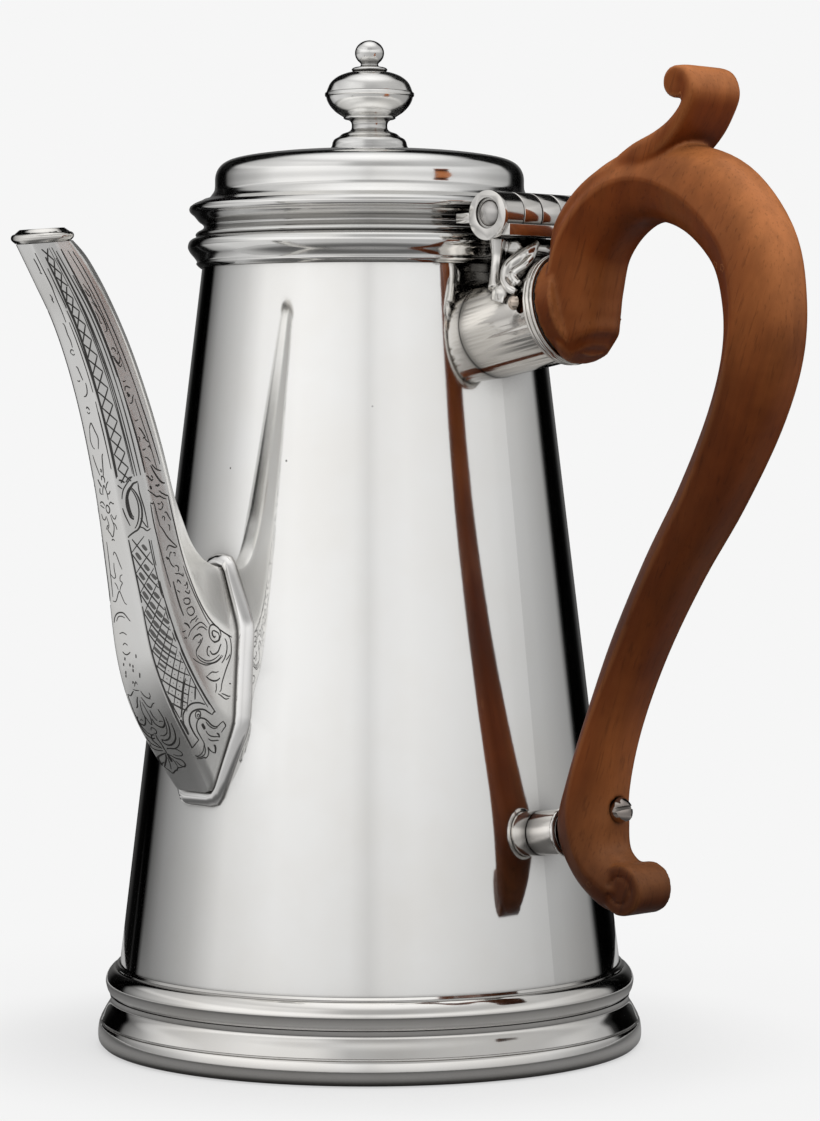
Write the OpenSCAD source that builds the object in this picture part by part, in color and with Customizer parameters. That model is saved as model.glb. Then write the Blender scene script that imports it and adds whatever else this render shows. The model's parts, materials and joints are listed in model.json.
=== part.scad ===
// Silver coffee pot: straight tapering body, domed hinged lid with a baluster
// finial, octagonal curved spout and a carved fruitwood handle set at right
// angles to it. Z is up, the pot stands on z = 0, the spout points to -Y and
// the handle to +X.

/* [Body] */
// Outer radius the body cone would have at the table
body_foot_r = 62.55; // [55:0.05:70]
// Outer radius of the body at its top edge
body_top_r = 39.3; // [34:0.05:46]
// Height of the body's top edge above the table
body_top_z = 193; // [180:0.5:205]
// Height of the body's lower edge inside the foot
body_low_z = 6; // [5:0.5:8]
// Thickness of the body wall
body_wall = 1.2; // [0.8:0.1:1.8]
// Height of the underside of the bottom plate
base_z = 8; // [6:0.5:14]
// Thickness of the bottom plate
base_t = 1.2; // [0.8:0.1:2]
// Diameter of the strainer holes behind the spout
strainer_d = 3; // [2:0.1:3.6]
// Distance between strainer holes
strainer_pitch = 5; // [4.6:0.1:6]

/* [Mouldings] */
// Factor on how far the foot moulding stands out from the body
foot_reach = 1; // [0.8:0.01:1.2]
// Height of the foot moulding
foot_h = 19.4; // [17:0.1:22]
// Factor on how far the rim moulding stands out from the body
rim_reach = 1; // [0.8:0.01:1.1]
// Height of the rim moulding
rim_h = 7.2; // [6.4:0.1:8]

/* [Lid] */
// Slit between the body's rim and the lid
lid_slit = 0.25; // [0.2:0.05:0.5]
// Height of the lid moulding
lid_band_h = 8.9; // [8:0.1:10]
// How far the lid moulding stands out past the body's rim
lid_over = 3.9; // [3.5:0.1:4.4]
// Height of the dome above the lid moulding
dome_h = 11.7; // [10:0.1:15]
// Thickness of the lid's sheet metal
lid_wall = 1; // [0.7:0.1:1.5]
// Clearance between the lid's bezel and the body wall
bezel_gap = 1; // [0.8:0.1:1.6]
// Depth that the bezel reaches into the body
bezel_depth = 5; // [3:0.5:8]
// Thickness of the bezel
bezel_wall = 0.9; // [0.7:0.1:1.3]

/* [Finial] */
// Height of the finial above the crown of the lid
finial_h = 26.5; // [24:0.5:29]
// Largest radius of the finial's urn
urn_r = 10.7; // [9:0.05:12]
// Radius of the ball
ball_r = 3.5; // [3:0.1:4.2]
// Radius of the stud that holds the finial
stud_r = 1.2; // [1:0.1:1.6]
// Width of the nut across its flats
nut_w = 7; // [6:0.1:8]

/* [Hinge] */
// Distance of the hinge axis out from the body's rim
hinge_out = 14.7; // [14.3:0.1:17]
// Height of the hinge axis above the body's rim
hinge_rise = 3.4; // [3.2:0.1:5]
// Radius of the knuckles
knuckle_r = 5.1; // [4.6:0.1:5.4]
// Length of one knuckle
knuckle_w = 6.2; // [5:0.1:7]
// Gap between knuckles
knuckle_gap = 0.3; // [0.2:0.05:0.5]
// Radius of the hinge pin
pin_r = 1.6; // [1.2:0.1:2]
// Radius of the hinge pin's heads
pin_head_r = 3.1; // [2.6:0.1:3.6]

/* [Spout] */
// Distance of the spout's lip from the pot's axis
spout_reach = 101.9; // [96:0.1:108]
// Height of the spout's lip
spout_top = 190; // [182:0.5:198]
// Thickness of the spout's wall
spout_wall = 1; // [0.8:0.1:1.4]
// How far the joint frame stands proud of the body
frame_t = 2.2; // [1.6:0.1:3]
// Outer radius of the lip
lip_r = 7; // [6.6:0.1:8]
// Height of the lip moulding
lip_h = 3.2; // [2.4:0.1:4]

/* [Handle fittings] */
// Distance of the upper socket's end out from the body's rim
socket_out = 25.2; // [23:0.1:27]
// Depth of the upper socket's axis at its end below the body's rim
socket_drop = 18; // [16:0.5:20]
// Upward tilt of the upper socket
socket_tilt = 11; // [7:0.5:13]
// Outer radius of the upper socket at its rim
socket_r = 11.9; // [11:0.1:12.5]
// Thickness of the socket's wall
socket_wall = 1.1; // [0.8:0.1:1.5]
// Radius of the pin through the upper socket
socket_pin_r = 1.4; // [1:0.1:1.8]
// Distance of the lower socket's end out from the body
boss_out = 9.1; // [8:0.1:11]
// Height of the lower socket's end
boss_z = 55.4; // [52:0.1:60]
// Outer radius of the lower socket
boss_r = 5.2; // [4.5:0.1:6]
// Tilt of the lower handle screw
screw_tilt = 21; // [15:0.5:24]
// Radius of the screw's shank
screw_r = 1.4; // [1.1:0.1:1.8]
// Radius of the screw's head
screw_head_r = 2.85; // [2.4:0.05:3.2]

/* [Handle] */
// Factor on the width of the handle
handle_width = 1; // [0.9:0.01:1.1]

/* [Hidden] */
$fn = 96;

silver = [0.80, 0.79, 0.77];
bright = [0.86, 0.86, 0.85];
aged = [0.72, 0.70, 0.67];
wood = [0.52, 0.27, 0.14];

// Clearance between soldered pieces
fit = 0.1;
// Clearance round pins and screws
bore_gap = 0.15;
eps = 0.01;

// ---- helpers ----
// Smooth curve through points of any size, n steps to each stretch
function spline_point(a, b, c, d, t) =
  0.5 * (2 * b + (c - a) * t + (2 * a - 5 * b + 4 * c - d) * t * t
         + (3 * b - a - 3 * c + d) * t * t * t);
function spline(p, n = 4) =
  let (m = len(p) - 1)
  concat([for (i = [0:m - 1], k = [0:n - 1])
            spline_point(p[max(i - 1, 0)], p[i], p[i + 1], p[min(i + 2, m)], k / n)],
         [p[m]]);
function arc_points(c, r, a0, a1, n = 8) =
  [for (i = [0:n]) let (a = a0 + (a1 - a0) * i / n) c + r * [cos(a), sin(a)]];
// A closed tube of rings: every ring has the same number of points
module skin(rings) {
  m = len(rings[0]);
  n = len(rings);
  polyhedron(
    points = [for (ring = rings, p = ring) p],
    faces = concat(
      [[for (j = [0:m - 1]) m - 1 - j]],
      [for (i = [0:n - 2], j = [0:m - 1])
         let (a = i * m + j, b = i * m + (j + 1) % m) [a, b, b + m]],
      [for (i = [0:n - 2], j = [0:m - 1])
         let (a = i * m + j, b = i * m + (j + 1) % m) [a, b + m, a + m]],
      [[for (j = [0:m - 1]) (n - 1) * m + j]]));
}
module along_y(h) {
  rotate([90, 0, 0]) translate([0, 0, -h / 2]) linear_extrude(h) children();
}

// ---- body ----
body_slope = (body_foot_r - body_top_r) / body_top_z;
function body_r(z) = body_foot_r - body_slope * z;
// Outline standing out from the body: each point is [reach, height]
function from_body(p) = [for (q = p) [body_r(q[1]) + q[0], q[1]]];
// Solid inside the body's outer surface, grown by g
module body_cone(g = 0) {
  h = body_top_z;
  cylinder(h = h, r1 = body_foot_r + g, r2 = body_top_r + g);
}
strainer_z = 90;
strainer_rows = 4;

module body_shell() color(silver) difference() {
  rotate_extrude() polygon([
    [body_r(body_low_z) - body_wall, body_low_z], [body_r(body_low_z), body_low_z],
    [body_top_r, body_top_z], [body_top_r - body_wall, body_top_z]]);
  for (row = [-strainer_rows / 2:strainer_rows / 2], side = [-1:1])
    if (abs(row) < strainer_rows / 2 || side == 0)
      translate([(side + (row % 2 == 0 ? 0 : 0.5)) * strainer_pitch, 0,
                 strainer_z + row * strainer_pitch])
        rotate([90, 0, 0])
          cylinder(h = body_foot_r, d = strainer_d);
}

module base_disc() color(silver)
  translate([0, 0, base_z])
    cylinder(h = base_t, r = body_r(base_z + base_t) - body_wall - fit);

foot_outline = concat(
  spline([[1.8, 0], [2.9, 1.1], [3.3, 3], [3.3, 5], [3.1, 5.8]], 3),
  spline([[2.95, 6.3], [2.2, 8.2], [1.4, 9.8], [1.2, 10.8], [1.6, 12],
          [2.4, 13.6], [2.9, 15.3], [2.6, 16.9], [1.9, 18], [1.1, 18.7]], 2),
  [[0.9, 18.8], [0.6, 19.4]]);
module foot_moulding() color(silver)
  rotate_extrude() polygon(concat(
    [[body_r(0) + fit, 0]],
    from_body([for (p = foot_outline) [p[0] * foot_reach, p[1]] * foot_h / 19.4]),
    [[body_r(foot_h) + fit, foot_h]]));

rim_low_z = body_top_z - rim_h;
rim_outline = concat(
  [[0.35, 0]],
  spline([[0.9, 0.4], [1.5, 1], [1.4, 1.5], [1.7, 2], [2.3, 2.7], [3.1, 3.5],
          [3.8, 4.5], [4, 5.3], [3.8, 6.3], [3.2, 6.9], [2.5, 7.2]], 2));
module rim_moulding() color(silver)
  rotate_extrude() polygon(concat(
    [[body_r(rim_low_z) + fit, rim_low_z]],
    from_body([for (p = rim_outline) [p[0] * rim_reach, p[1]] * rim_h / 7.2 + [0, rim_low_z]]),
    [[body_top_r + fit, body_top_z]]));

// ---- spout ----
// Eight-sided sections, each given by its four corners on the +X side, from
// the front (away from the pot) to the back
function both_sides(c) = concat([for (p = c) [-p[0], p[1], p[2]]], [for (i = [3:-1:0]) c[i]]);
// Section round centre [y, z]: half width w, half depth d, turned by tilt
function spout_section(y, z, tilt, w, d) =
  [for (q = [[0.46, -1], [1, -0.44], [1, 0.4], [0.42, 1]])
     [q[0] * w, y + q[1] * d * cos(tilt), z + q[1] * d * sin(tilt)]];
spout_root = [[5.8, 64.2], [9.8, 80.5], [8.6, 101.2], [2.6, 116]];
function flat_section(y) = [for (q = spout_root) [q[0], y, q[1]]];
spout_sections = [
  flat_section(-40),
  [[5.8, -57.8, 64.2], [9.8, -55, 80.5], [8.6, -53, 101.2], [2.6, -51.4, 116]],
  [[7.1, -64.5, 74], [9.8, -59.6, 84.5], [8.7, -56.8, 103], [2.8, -54.4, 116.8]],
  [[7.0, -70.8, 84], [9.6, -65.2, 92], [8.7, -60.6, 106], [3.0, -57.6, 118.6]],
  [[6.0, -75.6, 96], [9.3, -70.4, 101.5], [8.6, -64.4, 111.8], [3.3, -60.8, 122]],
  [[4.9, -79, 112.5], [8.8, -75, 115], [8.4, -68.2, 120.5], [3.5, -63.6, 127]],
  spout_section(-74.6, 131.2, 15, 8.4, 8.4),
  spout_section(-77.4, 141.5, 18, 8.0, 8.0),
  spout_section(-81.0, 152.5, 22, 7.6, 7.5),
  spout_section(-85.6, 164, 27, 7.1, 7.0),
  spout_section(-91.0, 174.5, 32, 6.6, 6.5),
  spout_section(-96.4, 182.5, 30, 6.2, 6.2),
  spout_section(-101.2, 188.6, 18, 5.9, 6.1)];
spout_steps = 3;
// The spout is drawn with its root 57.8 out and its lip 101.9 out and 190 high
root_y = -body_r(90) - 6.1;
out_scale = (spout_reach + root_y) / 44.1;
up_scale = (spout_top - 64) / 126;
function placed(rings) =
  [for (r = rings) [for (p = r) [p[0], root_y + (p[1] + 57.8) * out_scale, 64 + (p[2] - 64) * up_scale]]];
function root_place(p) = [p[0], 64 + (p[1] - 64) * up_scale];
function spout_rings(s, from = 1) = placed(concat(
  [for (i = [0:from - 1]) both_sides(s[i])],
  [for (c = spline([for (i = [from:len(s) - 1]) s[i]], spout_steps)) both_sides(c)]));
function mean_point(c) = [0, (c[0][1] + c[3][1]) / 2, (c[0][2] + c[3][2]) / 2];
// Section drawn in by g on every side
function inset(c, g) =
  let (m = mean_point(c), w = c[1][0], d = norm(c[3] - c[0]) / 2)
  [for (p = c)
     [p[0] * (1 - g / w), m[1] + (p[1] - m[1]) * (1 - g / d), m[2] + (p[2] - m[2]) * (1 - g / d)]];
function extend_end(s, g) =
  let (n = len(s) - 1, step = [0, -0.77, 0.64] * g)
  concat([for (i = [0:n]) s[i]], [[for (p = s[n]) p + step]]);
spout_inside = extend_end([for (c = spout_sections) inset(c, spout_wall)], 4);

module spout_body() color(bright) difference() {
  skin(spout_rings(spout_sections));
  skin(spout_rings(spout_inside));
  body_cone(fit);
}

// Outline of the joint frame seen along Y: corners on the +X side
frame_corners = [[6.4, 60.6], [12.7, 79.3], [11.4, 103.4], [3.4, 118.6]];
function mirrored(p) = concat(p, [for (i = [len(p) - 1:-1:0]) [-p[i][0], p[i][1]]]);
// Corners moved inwards by the factor g of the way to the spout's own corners
function frame_between(g) =
  [for (i = [0:3]) frame_corners[i] + (spout_root[i] - frame_corners[i]) * g];
module frame_prism(corners) {
  rotate([90, 0, 0]) linear_extrude(body_foot_r + 10) polygon(mirrored([for (c = corners) root_place(c)]));
}
module spout_joint_frame() color(bright) difference() {
  intersection() {
    union() {
      intersection() {
        frame_prism(frame_corners);
        body_cone(frame_t * 0.45);
      }
      intersection() {
        frame_prism(frame_between(0.5));
        body_cone(frame_t);
      }
    }
    translate([-body_foot_r / 2, -1.2 * body_foot_r, 0]) cube([body_foot_r, 1.2 * body_foot_r, body_top_z]);
  }
  body_cone(fit);
  frame_prism([for (i = [0:3]) spout_root[i] + fit * [1, i < 2 ? -1 : 1]]);
}

// Lip moulding round the end of the spout
lip_tilt = 17;
lip_centre = [0, -spout_reach, spout_top + 0.1];
module spout_lip() color(bright)
  translate(lip_centre) rotate([lip_tilt, 0, 0])
    rotate_extrude() polygon(concat(
      [[lip_r - 2.2, lip_h / 2], [lip_r - 2.2, lip_h / 2 - 1.4], [lip_r - 1, -lip_h / 2]],
      arc_points([lip_r - 0.9, -0.3], 0.9, -60, 90, 5)));

// ---- handle fittings ----
socket_x = body_top_r + socket_out;
socket_z = body_top_z - socket_drop;
boss_x = body_r(boss_z) + boss_out;
// Moves children so that +X runs along the upper socket, from its rim
module at_socket() {
  translate([socket_x, 0, socket_z]) rotate([0, -socket_tilt, 0]) children();
}
module lathe_x() { rotate([0, 90, 0]) rotate_extrude() children(); }
socket_len = 26;
socket_taper = 0.02;
socket_low_r = socket_r - socket_taper * socket_len;
tenon_len = 17;
tenon_r = socket_r - socket_wall - socket_taper * tenon_len - fit;
// Place of the cross pin, measured back from the rim
cross_pin_back = 6.1;
cross_pin_up = 2.4;
slot_x = 1.7 - cross_pin_back;
slot_up = 1.9;
slot_r = 1.35;
slot_half = 1.1;
module cross_pin_place() {
  at_socket() translate([-cross_pin_back, 0, cross_pin_up]) rotate([90, 0, 0]) children();
}
module upper_socket() color(aged) difference() {
  at_socket() lathe_x() polygon([
    [socket_low_r - socket_wall, -socket_len], [socket_low_r, -socket_len],
    [socket_r, 0], [socket_r - socket_wall, 0]]);
  body_cone(fit);
  cross_pin_place() cylinder(h = 40, r = socket_pin_r + bore_gap, center = true);
  // an upright slot beside the pin on the -Y side
  at_socket() translate([slot_x, 0, slot_up]) {
    for (s = [-1, 1]) translate([0, 0, s * slot_half])
      rotate([90, 0, 0]) cylinder(h = 20, r = slot_r);
    translate([-slot_r, -20, -slot_half]) cube([2 * slot_r, 20, 2 * slot_half]);
  }
}

collar_len = 3;
module upper_socket_collar() color(aged)
  at_socket() lathe_x() polygon(concat(
    [[socket_r + fit, -collar_len]],
    arc_points([socket_r + 0.4, -collar_len + 0.5], 0.5, -90, 80, 4),
    arc_points([socket_r + 0.5, -1.4], 0.6, -70, 80, 4),
    arc_points([socket_r + 0.3, -0.4], 0.6, -60, 42, 4),
    [[socket_r + fit, 0]]));

function body_tilt() = atan(body_slope);
module at_boss() {
  translate([boss_x, 0, boss_z]) rotate([0, -body_tilt(), 0]) children();
}
boss_len = 12;
// The handle's shape is drawn for fixings 119.6 apart, at [65, 55.4] and [64.5, 175]
handle_scale = (socket_z - boss_z) / 119.6;
// Turns a drawn place [x, z] into its real one
function on_handle(x, z) =
  let (t = min(max((z - 55.4) / 119.6, 0), 1))
  [boss_x + (socket_x - boss_x) * t + (x - 65 + 0.5 * t) * handle_scale, boss_z + (z - 55.4) * handle_scale];
// Place of the screw's head on the back of the handle
screw_place = on_handle(80.3, 61.4);
module at_screw() {
  translate([screw_place[0], 0, screw_place[1]]) rotate([0, -90 - screw_tilt, 0]) children();
}
screw_len = 19;
module screw_bore(g) { at_screw() translate([0, 0, -1]) cylinder(h = screw_len + 2, r = screw_r + g); }
module lower_socket() color(aged) difference() {
  at_boss() lathe_x() polygon([[0, -boss_len], [boss_r, -boss_len], [boss_r, 0], [0, 0]]);
  body_cone(fit);
  screw_bore(0.05);
}
module lower_socket_collar() color(aged)
  at_boss() lathe_x() polygon(concat(
    [[boss_r + fit, -1.6]], arc_points([boss_r + 0.2, -0.8], 0.6, -70, 70, 6), [[boss_r + fit, 0]]));

module upper_handle_pin() color(bright) {
  half = socket_r - socket_taper * cross_pin_back;
  cross_pin_place() {
    cylinder(h = 2 * half, r = socket_pin_r, center = true);
    for (s = [0, 1]) mirror([0, 0, s]) translate([0, 0, half])
      rotate_extrude() intersection() {
        translate([0, -0.7]) circle(r = 1.9);
        square([3, 3]);
      }
  }
}

module lower_handle_screw() color(aged) difference() {
  at_screw() {
    cylinder(h = screw_len, r = screw_r);
    translate([0, 0, -0.9]) cylinder(h = 1.9, r = screw_head_r);
    translate([0, 0, -0.9]) mirror([0, 0, 1]) rotate_extrude() intersection() {
      translate([0, -2.2]) circle(r = norm([screw_head_r, 2.2]));
      square([screw_head_r, 5]);
    }
  }
  at_screw() translate([-0.45, -4, -4]) cube([0.9, 8, 3.3]);
}

// ---- handle ----
// Each row: distance from the pot's axis, height, depth of the outer and of the
// inner half of the section, half width
handle_rows = [
  [70.5, 164.2, 3.5, 4, 6], [69, 166.5, 4.5, 7.5, 9], [67, 172, 4, 9.3, 10.3],
  [66.6, 180, 3, 10.5, 10.6], [69.5, 190, 4.5, 10.5, 10.5], [76.5, 198, 6, 10.3, 10.4],
  [86, 202.5, 7, 9.8, 10.3], [96.5, 202, 9, 9, 10.2], [107.5, 196.5, 11.2, 8, 10.2],
  [116.5, 187, 10.8, 7.3, 10.2], [119.5, 176, 10.3, 6.2, 10.2], [118.7, 164, 10.3, 4.8, 10.2],
  [114.3, 150, 9.2, 4.6, 10], [106, 133, 7.4, 5.2, 9.5], [95.8, 116.8, 6.2, 5.2, 9],
  [86, 98.5, 5, 5.4, 8.6], [77.5, 81.5, 6, 4, 8.5], [72, 67, 8, 4.2, 8.5],
  [71.5, 57.5, 8.4, 7.2, 8.5], [74.5, 49.5, 6.4, 6.4, 8.5], [80, 44.5, 6.4, 6, 8],
  [85.5, 43.7, 6, 6, 7], [89.6, 44.2, 4.4, 4.4, 5.5], [91.6, 44.6, 1, 1, 2]];
// Each row of the thumb-piece: place, half thickness, half width
thumb_rows = [
  [65.5, 183, 2.5, 9.6], [68, 191.5, 3, 9.6], [73.8, 199, 3.2, 9.5], [82, 204, 3.4, 9.4],
  [90.5, 206.8, 3, 9.2], [97.3, 210, 2.3, 9], [102, 213.7, 1.7, 8.9], [105.2, 218, 1.2, 8.8],
  [106.2, 221.5, 1.7, 8.8], [104.6, 224.4, 2.2, 8.6], [101.8, 224.2, 2.6, 8.4],
  [100.2, 222.6, 1.5, 8]];
function rounded(v, e) = sign(v) * pow(abs(v), e);
// Rings across a curve in the XZ plane; rows end in outer depth, inner depth, half width
function swept_rings(rows, n, m, e) =
  let (s = spline(rows, n), last = len(s) - 1)
  [for (i = [0:last])
     let (a = s[max(i - 1, 0)], b = s[min(i + 1, last)], d = [b[0] - a[0], b[1] - a[1]],
          t = d / norm(d), r = s[i])
     [for (j = [0:m - 1])
        let (c = cos(360 * j / m), q = sin(360 * j / m), p = on_handle(r[0], r[1]),
             k = rounded(c, e) * (c > 0 ? r[2] : r[3]) * handle_scale,
             w = rounded(q, e) * r[4] * handle_width * handle_scale)
        [p[0] - t[1] * k, w, p[1] + t[0] * k]]];
module handle() color(wood) difference() {
  union() {
    skin(swept_rings(handle_rows, 2, 20, 0.85));
    skin(swept_rings([for (r = thumb_rows) [r[0], r[1], r[2], r[2], r[3]]], 2, 16, 0.55));
    // shoulder and tenon of the upper end
    at_socket() {
      rotate([0, 90, 0]) cylinder(h = 5, r = socket_r + 0.2);
      translate([-tenon_len, 0, 0]) rotate([0, 90, 0]) cylinder(h = tenon_len + 1, r = tenon_r);
    }
  }
  // nothing but the tenon reaches behind the upper rim
  at_socket() translate([-30, 0, 0]) rotate([0, 90, 0]) difference() {
    cylinder(h = 30 + fit, r = 40);
    cylinder(h = 31, r = tenon_r);
  }
  cross_pin_place() cylinder(h = 40, r = socket_pin_r + bore_gap, center = true);
  // seat of the lower socket
  at_boss() translate([-12, 0, 0]) rotate([0, 90, 0]) cylinder(h = 12 + fit, r = boss_r + 1.2);
  screw_bore(bore_gap);
  at_screw() translate([0, 0, -8]) cylinder(h = 9 + fit, r = screw_head_r + bore_gap);
}

// ---- hinge ----
hinge_x = body_top_r + hinge_out;
hinge_z = body_top_z + hinge_rise;
hinge_half = 2.5 * knuckle_w;
module at_hinge() { translate([hinge_x, 0, hinge_z]) children(); }
module knuckle(i, r = knuckle_r) {
  at_hinge() translate([0, (i - 2) * knuckle_w, 0]) rotate([90, 0, 0])
    cylinder(h = knuckle_w - knuckle_gap, r = r, center = true);
}
plate_low = hinge_z - knuckle_r;
plate_t = 2.6;
disc_t = 1.1;
module hinge_body_leaf() color(aged) difference() {
  union() {
    for (i = [0, 2, 4]) knuckle(i);
    // bar below the barrel
    translate([hinge_x, -hinge_half + knuckle_gap / 2, plate_low])
      cube([knuckle_r + 0.9, 2 * hinge_half - knuckle_gap, plate_t]);
    // end discs
    for (s = [-1, 1])
      translate([hinge_x, s * (hinge_half - knuckle_gap / 2 + disc_t / 2), hinge_z - 0.5])
        rotate([90, 0, 0]) cylinder(h = disc_t, r = knuckle_r + 0.6, center = true);
  }
  at_hinge() rotate([90, 0, 0]) cylinder(h = 4 * hinge_half, r = pin_r + bore_gap, center = true);
  // recesses of the pin's heads
  for (s = [0, 1]) mirror([0, s, 0]) at_hinge() translate([0, hinge_half + 0.2, 0])
    rotate([-90, 0, 0]) cylinder(h = 5, r = pin_head_r + 0.4);
  // room for the lid's knuckles
  for (i = [1, 3]) at_hinge() translate([0, (i - 2) * knuckle_w, 0]) rotate([90, 0, 0])
    cylinder(h = knuckle_w + knuckle_gap, r = knuckle_r + knuckle_gap, center = true);
}
module hinge_pin() color(bright)
  at_hinge() rotate([90, 0, 0]) {
    cylinder(h = 2 * hinge_half + 1, r = pin_r, center = true);
    for (s = [0, 1]) mirror([0, 0, s]) translate([0, 0, hinge_half + 0.2])
      rotate_extrude() intersection() {
        translate([0, -3]) circle(r = norm([pin_head_r, 3]));
        square([pin_head_r, 5]);
      }
  }

leaf_half = hinge_half - 2.2;
leaf_low = hinge_z - 1.9;
leaf_t = 2.4;
module hinge_lid_leaf() color(aged) difference() {
  union() {
    for (i = [1, 3]) {
      knuckle(i);
      translate([lid_r, (i - 2) * knuckle_w - knuckle_w / 2 + knuckle_gap / 2, leaf_low])
        cube([hinge_x - lid_r, knuckle_w - knuckle_gap, leaf_t]);
    }
    translate([lid_r / 2, -leaf_half, leaf_low])
      cube([hinge_x - knuckle_r - disc_t - lid_r / 2, 2 * leaf_half, leaf_t]);
  }
  at_hinge() rotate([90, 0, 0]) cylinder(h = 4 * hinge_half, r = pin_r + bore_gap, center = true);
  // seated on the lid moulding
  translate([0, 0, lid_z - lid_slit]) cylinder(h = 2 * lid_band_h, r = lid_r + fit);
}

// Scroll bracket: legs lap down over both sides of the socket
bracket_side = concat(
  spline([[hinge_x - 7.3, 0], [hinge_x - 5.8, -2.6], [hinge_x - 5, -5], [hinge_x - 5, -8.4]], 3),
  [[hinge_x - 4.9, -9.8], [hinge_x - 3.4, -10.2], [hinge_x - 2.6, -14.4], [hinge_x + 1, -15.2],
   [hinge_x + 1.2, -13.2]],
  spline([[hinge_x + 1.5, -11.4], [hinge_x + 3.6, -9.6], [hinge_x + 4.6, -7.2], [hinge_x + 1.8, -5.4],
          [hinge_x - 1.2, -4.6]], 3),
  arc_points([hinge_x + 0.4, -2.6], 2, 250, 450, 8),
  [[hinge_x + 0.4, 0]]);
bracket_front = [[6.6, 0], [7.6, -1], [7.8, -3], [6.8, -5], [7.2, -7], [9.4, -9], [11.4, -11], [12.4, -15.5]];
module hinge_bracket() color(aged) difference() {
  translate([0, 0, plate_low - fit]) intersection() {
    along_y(40) polygon(bracket_side);
    translate([40, 0, 0]) rotate([90, 0, 90]) linear_extrude(30)
      polygon(concat([for (i = [7:-1:0]) [-bracket_front[i][0], bracket_front[i][1]]], bracket_front));
  }
  // seat on the socket
  at_socket() translate([-30, 0, 0]) rotate([0, 90, 0])
    cylinder(h = 40, r1 = socket_r - 30 * socket_taper + fit, r2 = socket_r + 10 * socket_taper + fit);
  at_socket() translate([-collar_len - 0.3, 0, 0]) rotate([0, 90, 0]) cylinder(h = 20, r = socket_r + 1.4);
  cross_pin_place() cylinder(h = 40, r = 2.3, center = true);
}

// ---- lid ----
lid_z = body_top_z + lid_slit;
lid_r = body_top_r + lid_over;
dome_z = lid_z + lid_band_h;
bezel_r = body_top_r - body_wall - bezel_gap;
// [distance in from the widest radius, height above the lid's lower edge]
lid_band = concat(
  spline([[1.7, 0], [1.5, 0.5], [1.9, 1.1], [3.1, 1.8], [3.5, 2.4], [3.2, 3],
          [2.3, 3.7], [1.7, 4.4], [1.1, 5.1], [0.3, 5.8], [0, 6.5], [0.2, 7.2]], 2),
  spline([[0.2, 7.2], [1.2, 7.9], [2.6, 8.5], [3.4, 8.9]], 2));
module lid_moulding() color(silver) difference() {
  rotate_extrude() polygon(concat(
    [[bezel_r + fit, lid_z]],
    [for (p = lid_band) [lid_r - p[0] * lid_band_h / 8.9, lid_z + p[1] * lid_band_h / 8.9]],
    [[bezel_r + fit, dome_z]]));
}

// Dome outline, as fractions: distance from the axis and height
dome_r = body_top_r - 0.4;
dome_top = [
  [1, 0], [0.984, 0.05], [0.97, 0.11], [0.957, 0.18], [0.952, 0.27], [0.951, 0.44], [0.944, 0.55],
  [0.928, 0.65], [0.9, 0.74], [0.852, 0.815], [0.76, 0.88], [0.6, 0.945], [0.42, 0.98], [0.25, 0.995], [0, 1]];
function dome_outline(g) =
  [for (p = spline(dome_top, 2)) [max(p[0] * dome_r - g, 0), dome_z + max(p[1] * dome_h - (p[1] > 0.3 ? g : 0), 0)]];
function reversed(p) = [for (i = [len(p) - 1:-1:0]) p[i]];
module lid_shell() color(silver) difference() {
  rotate_extrude() polygon(concat(dome_outline(0), reversed(dome_outline(lid_wall))));
  cylinder(h = 2 * body_top_z, r = stud_r + bore_gap);
}
module lid_bezel() color(silver)
  rotate_extrude() translate([bezel_r - bezel_wall, body_top_z - bezel_depth])
    square([bezel_wall, bezel_depth + lid_slit + lid_band_h]);

// ---- finial ----
crown_z = dome_z + dome_h;
finial_scale = finial_h / 26.5;
urn = urn_r / finial_scale;
module turned(outline) {
  difference() {
    translate([0, 0, crown_z]) scale(finial_scale) rotate_extrude() polygon(outline);
    cylinder(h = 2 * body_top_z, r = stud_r + bore_gap);
  }
}
// Heights in these outlines are measured from the crown of the lid
stem_z = 5.6;
belt_z = 13.6;
cap_z = 19;
// Halves of the urn: part of its radius, distance from the belt
urn_below = [[0.61, 5.2], [0.74, 4.3], [0.84, 3.3], [0.91, 2.3], [0.955, 1.3], [0.97, 0.6]];
urn_above = [[0.965, 0.6], [0.93, 1.6], [0.88, 2.7], [0.8, 3.6], [0.68, 4.45], [0.52, 5.1], [0.41, 5.35]];
module finial_foot() color(silver) turned(concat(
  [[0, 0.1]],
  [[9.4, 0], [9.3, 0.8], [9, 1.3], [8.9, 2]],
  spline([[8.8, 2.3], [8.4, 2.9], [7.5, 3.4]], 2),
  spline([[7.1, 3.7], [6.5, 4.2], [5.1, 4.7], [4.45, 5.2], [4.3, stem_z]], 2),
  [[0, stem_z]]));
module finial_urn_lower() color(silver) turned(concat(
  [[0, stem_z]],
  spline([[4.28, stem_z], [4.28, 6.5], [4.6, 7.2], [5.2, 7.6]], 2),
  [[6.2, 7.8], [6.2, 8.2]],
  spline([for (p = urn_below) [p[0] * urn, belt_z - p[1]]], 2),
  [[urn, belt_z - 0.4], [urn, belt_z], [0, belt_z]]));
module finial_urn_upper() color(silver) turned(concat(
  [[0, belt_z], [urn, belt_z], [urn, belt_z + 0.3], [urn - 0.4, belt_z + 0.5]],
  spline([for (p = urn_above) [p[0] * urn, belt_z + p[1]]], 2),
  [[0, cap_z]]));
module finial_ball() color(silver) turned(concat(
  [[0, cap_z]],
  spline([[3.8, cap_z], [4.3, cap_z + 0.5], [3.8, cap_z + 1], [2.4, cap_z + 1.3], [2.05, cap_z + 1.8]], 2),
  [for (a = [-52:13:90]) [ball_r / finial_scale * cos(a), cap_z + 4.5 + 3.05 * sin(a)]]));
stud_top = cap_z + 2.9;
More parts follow.
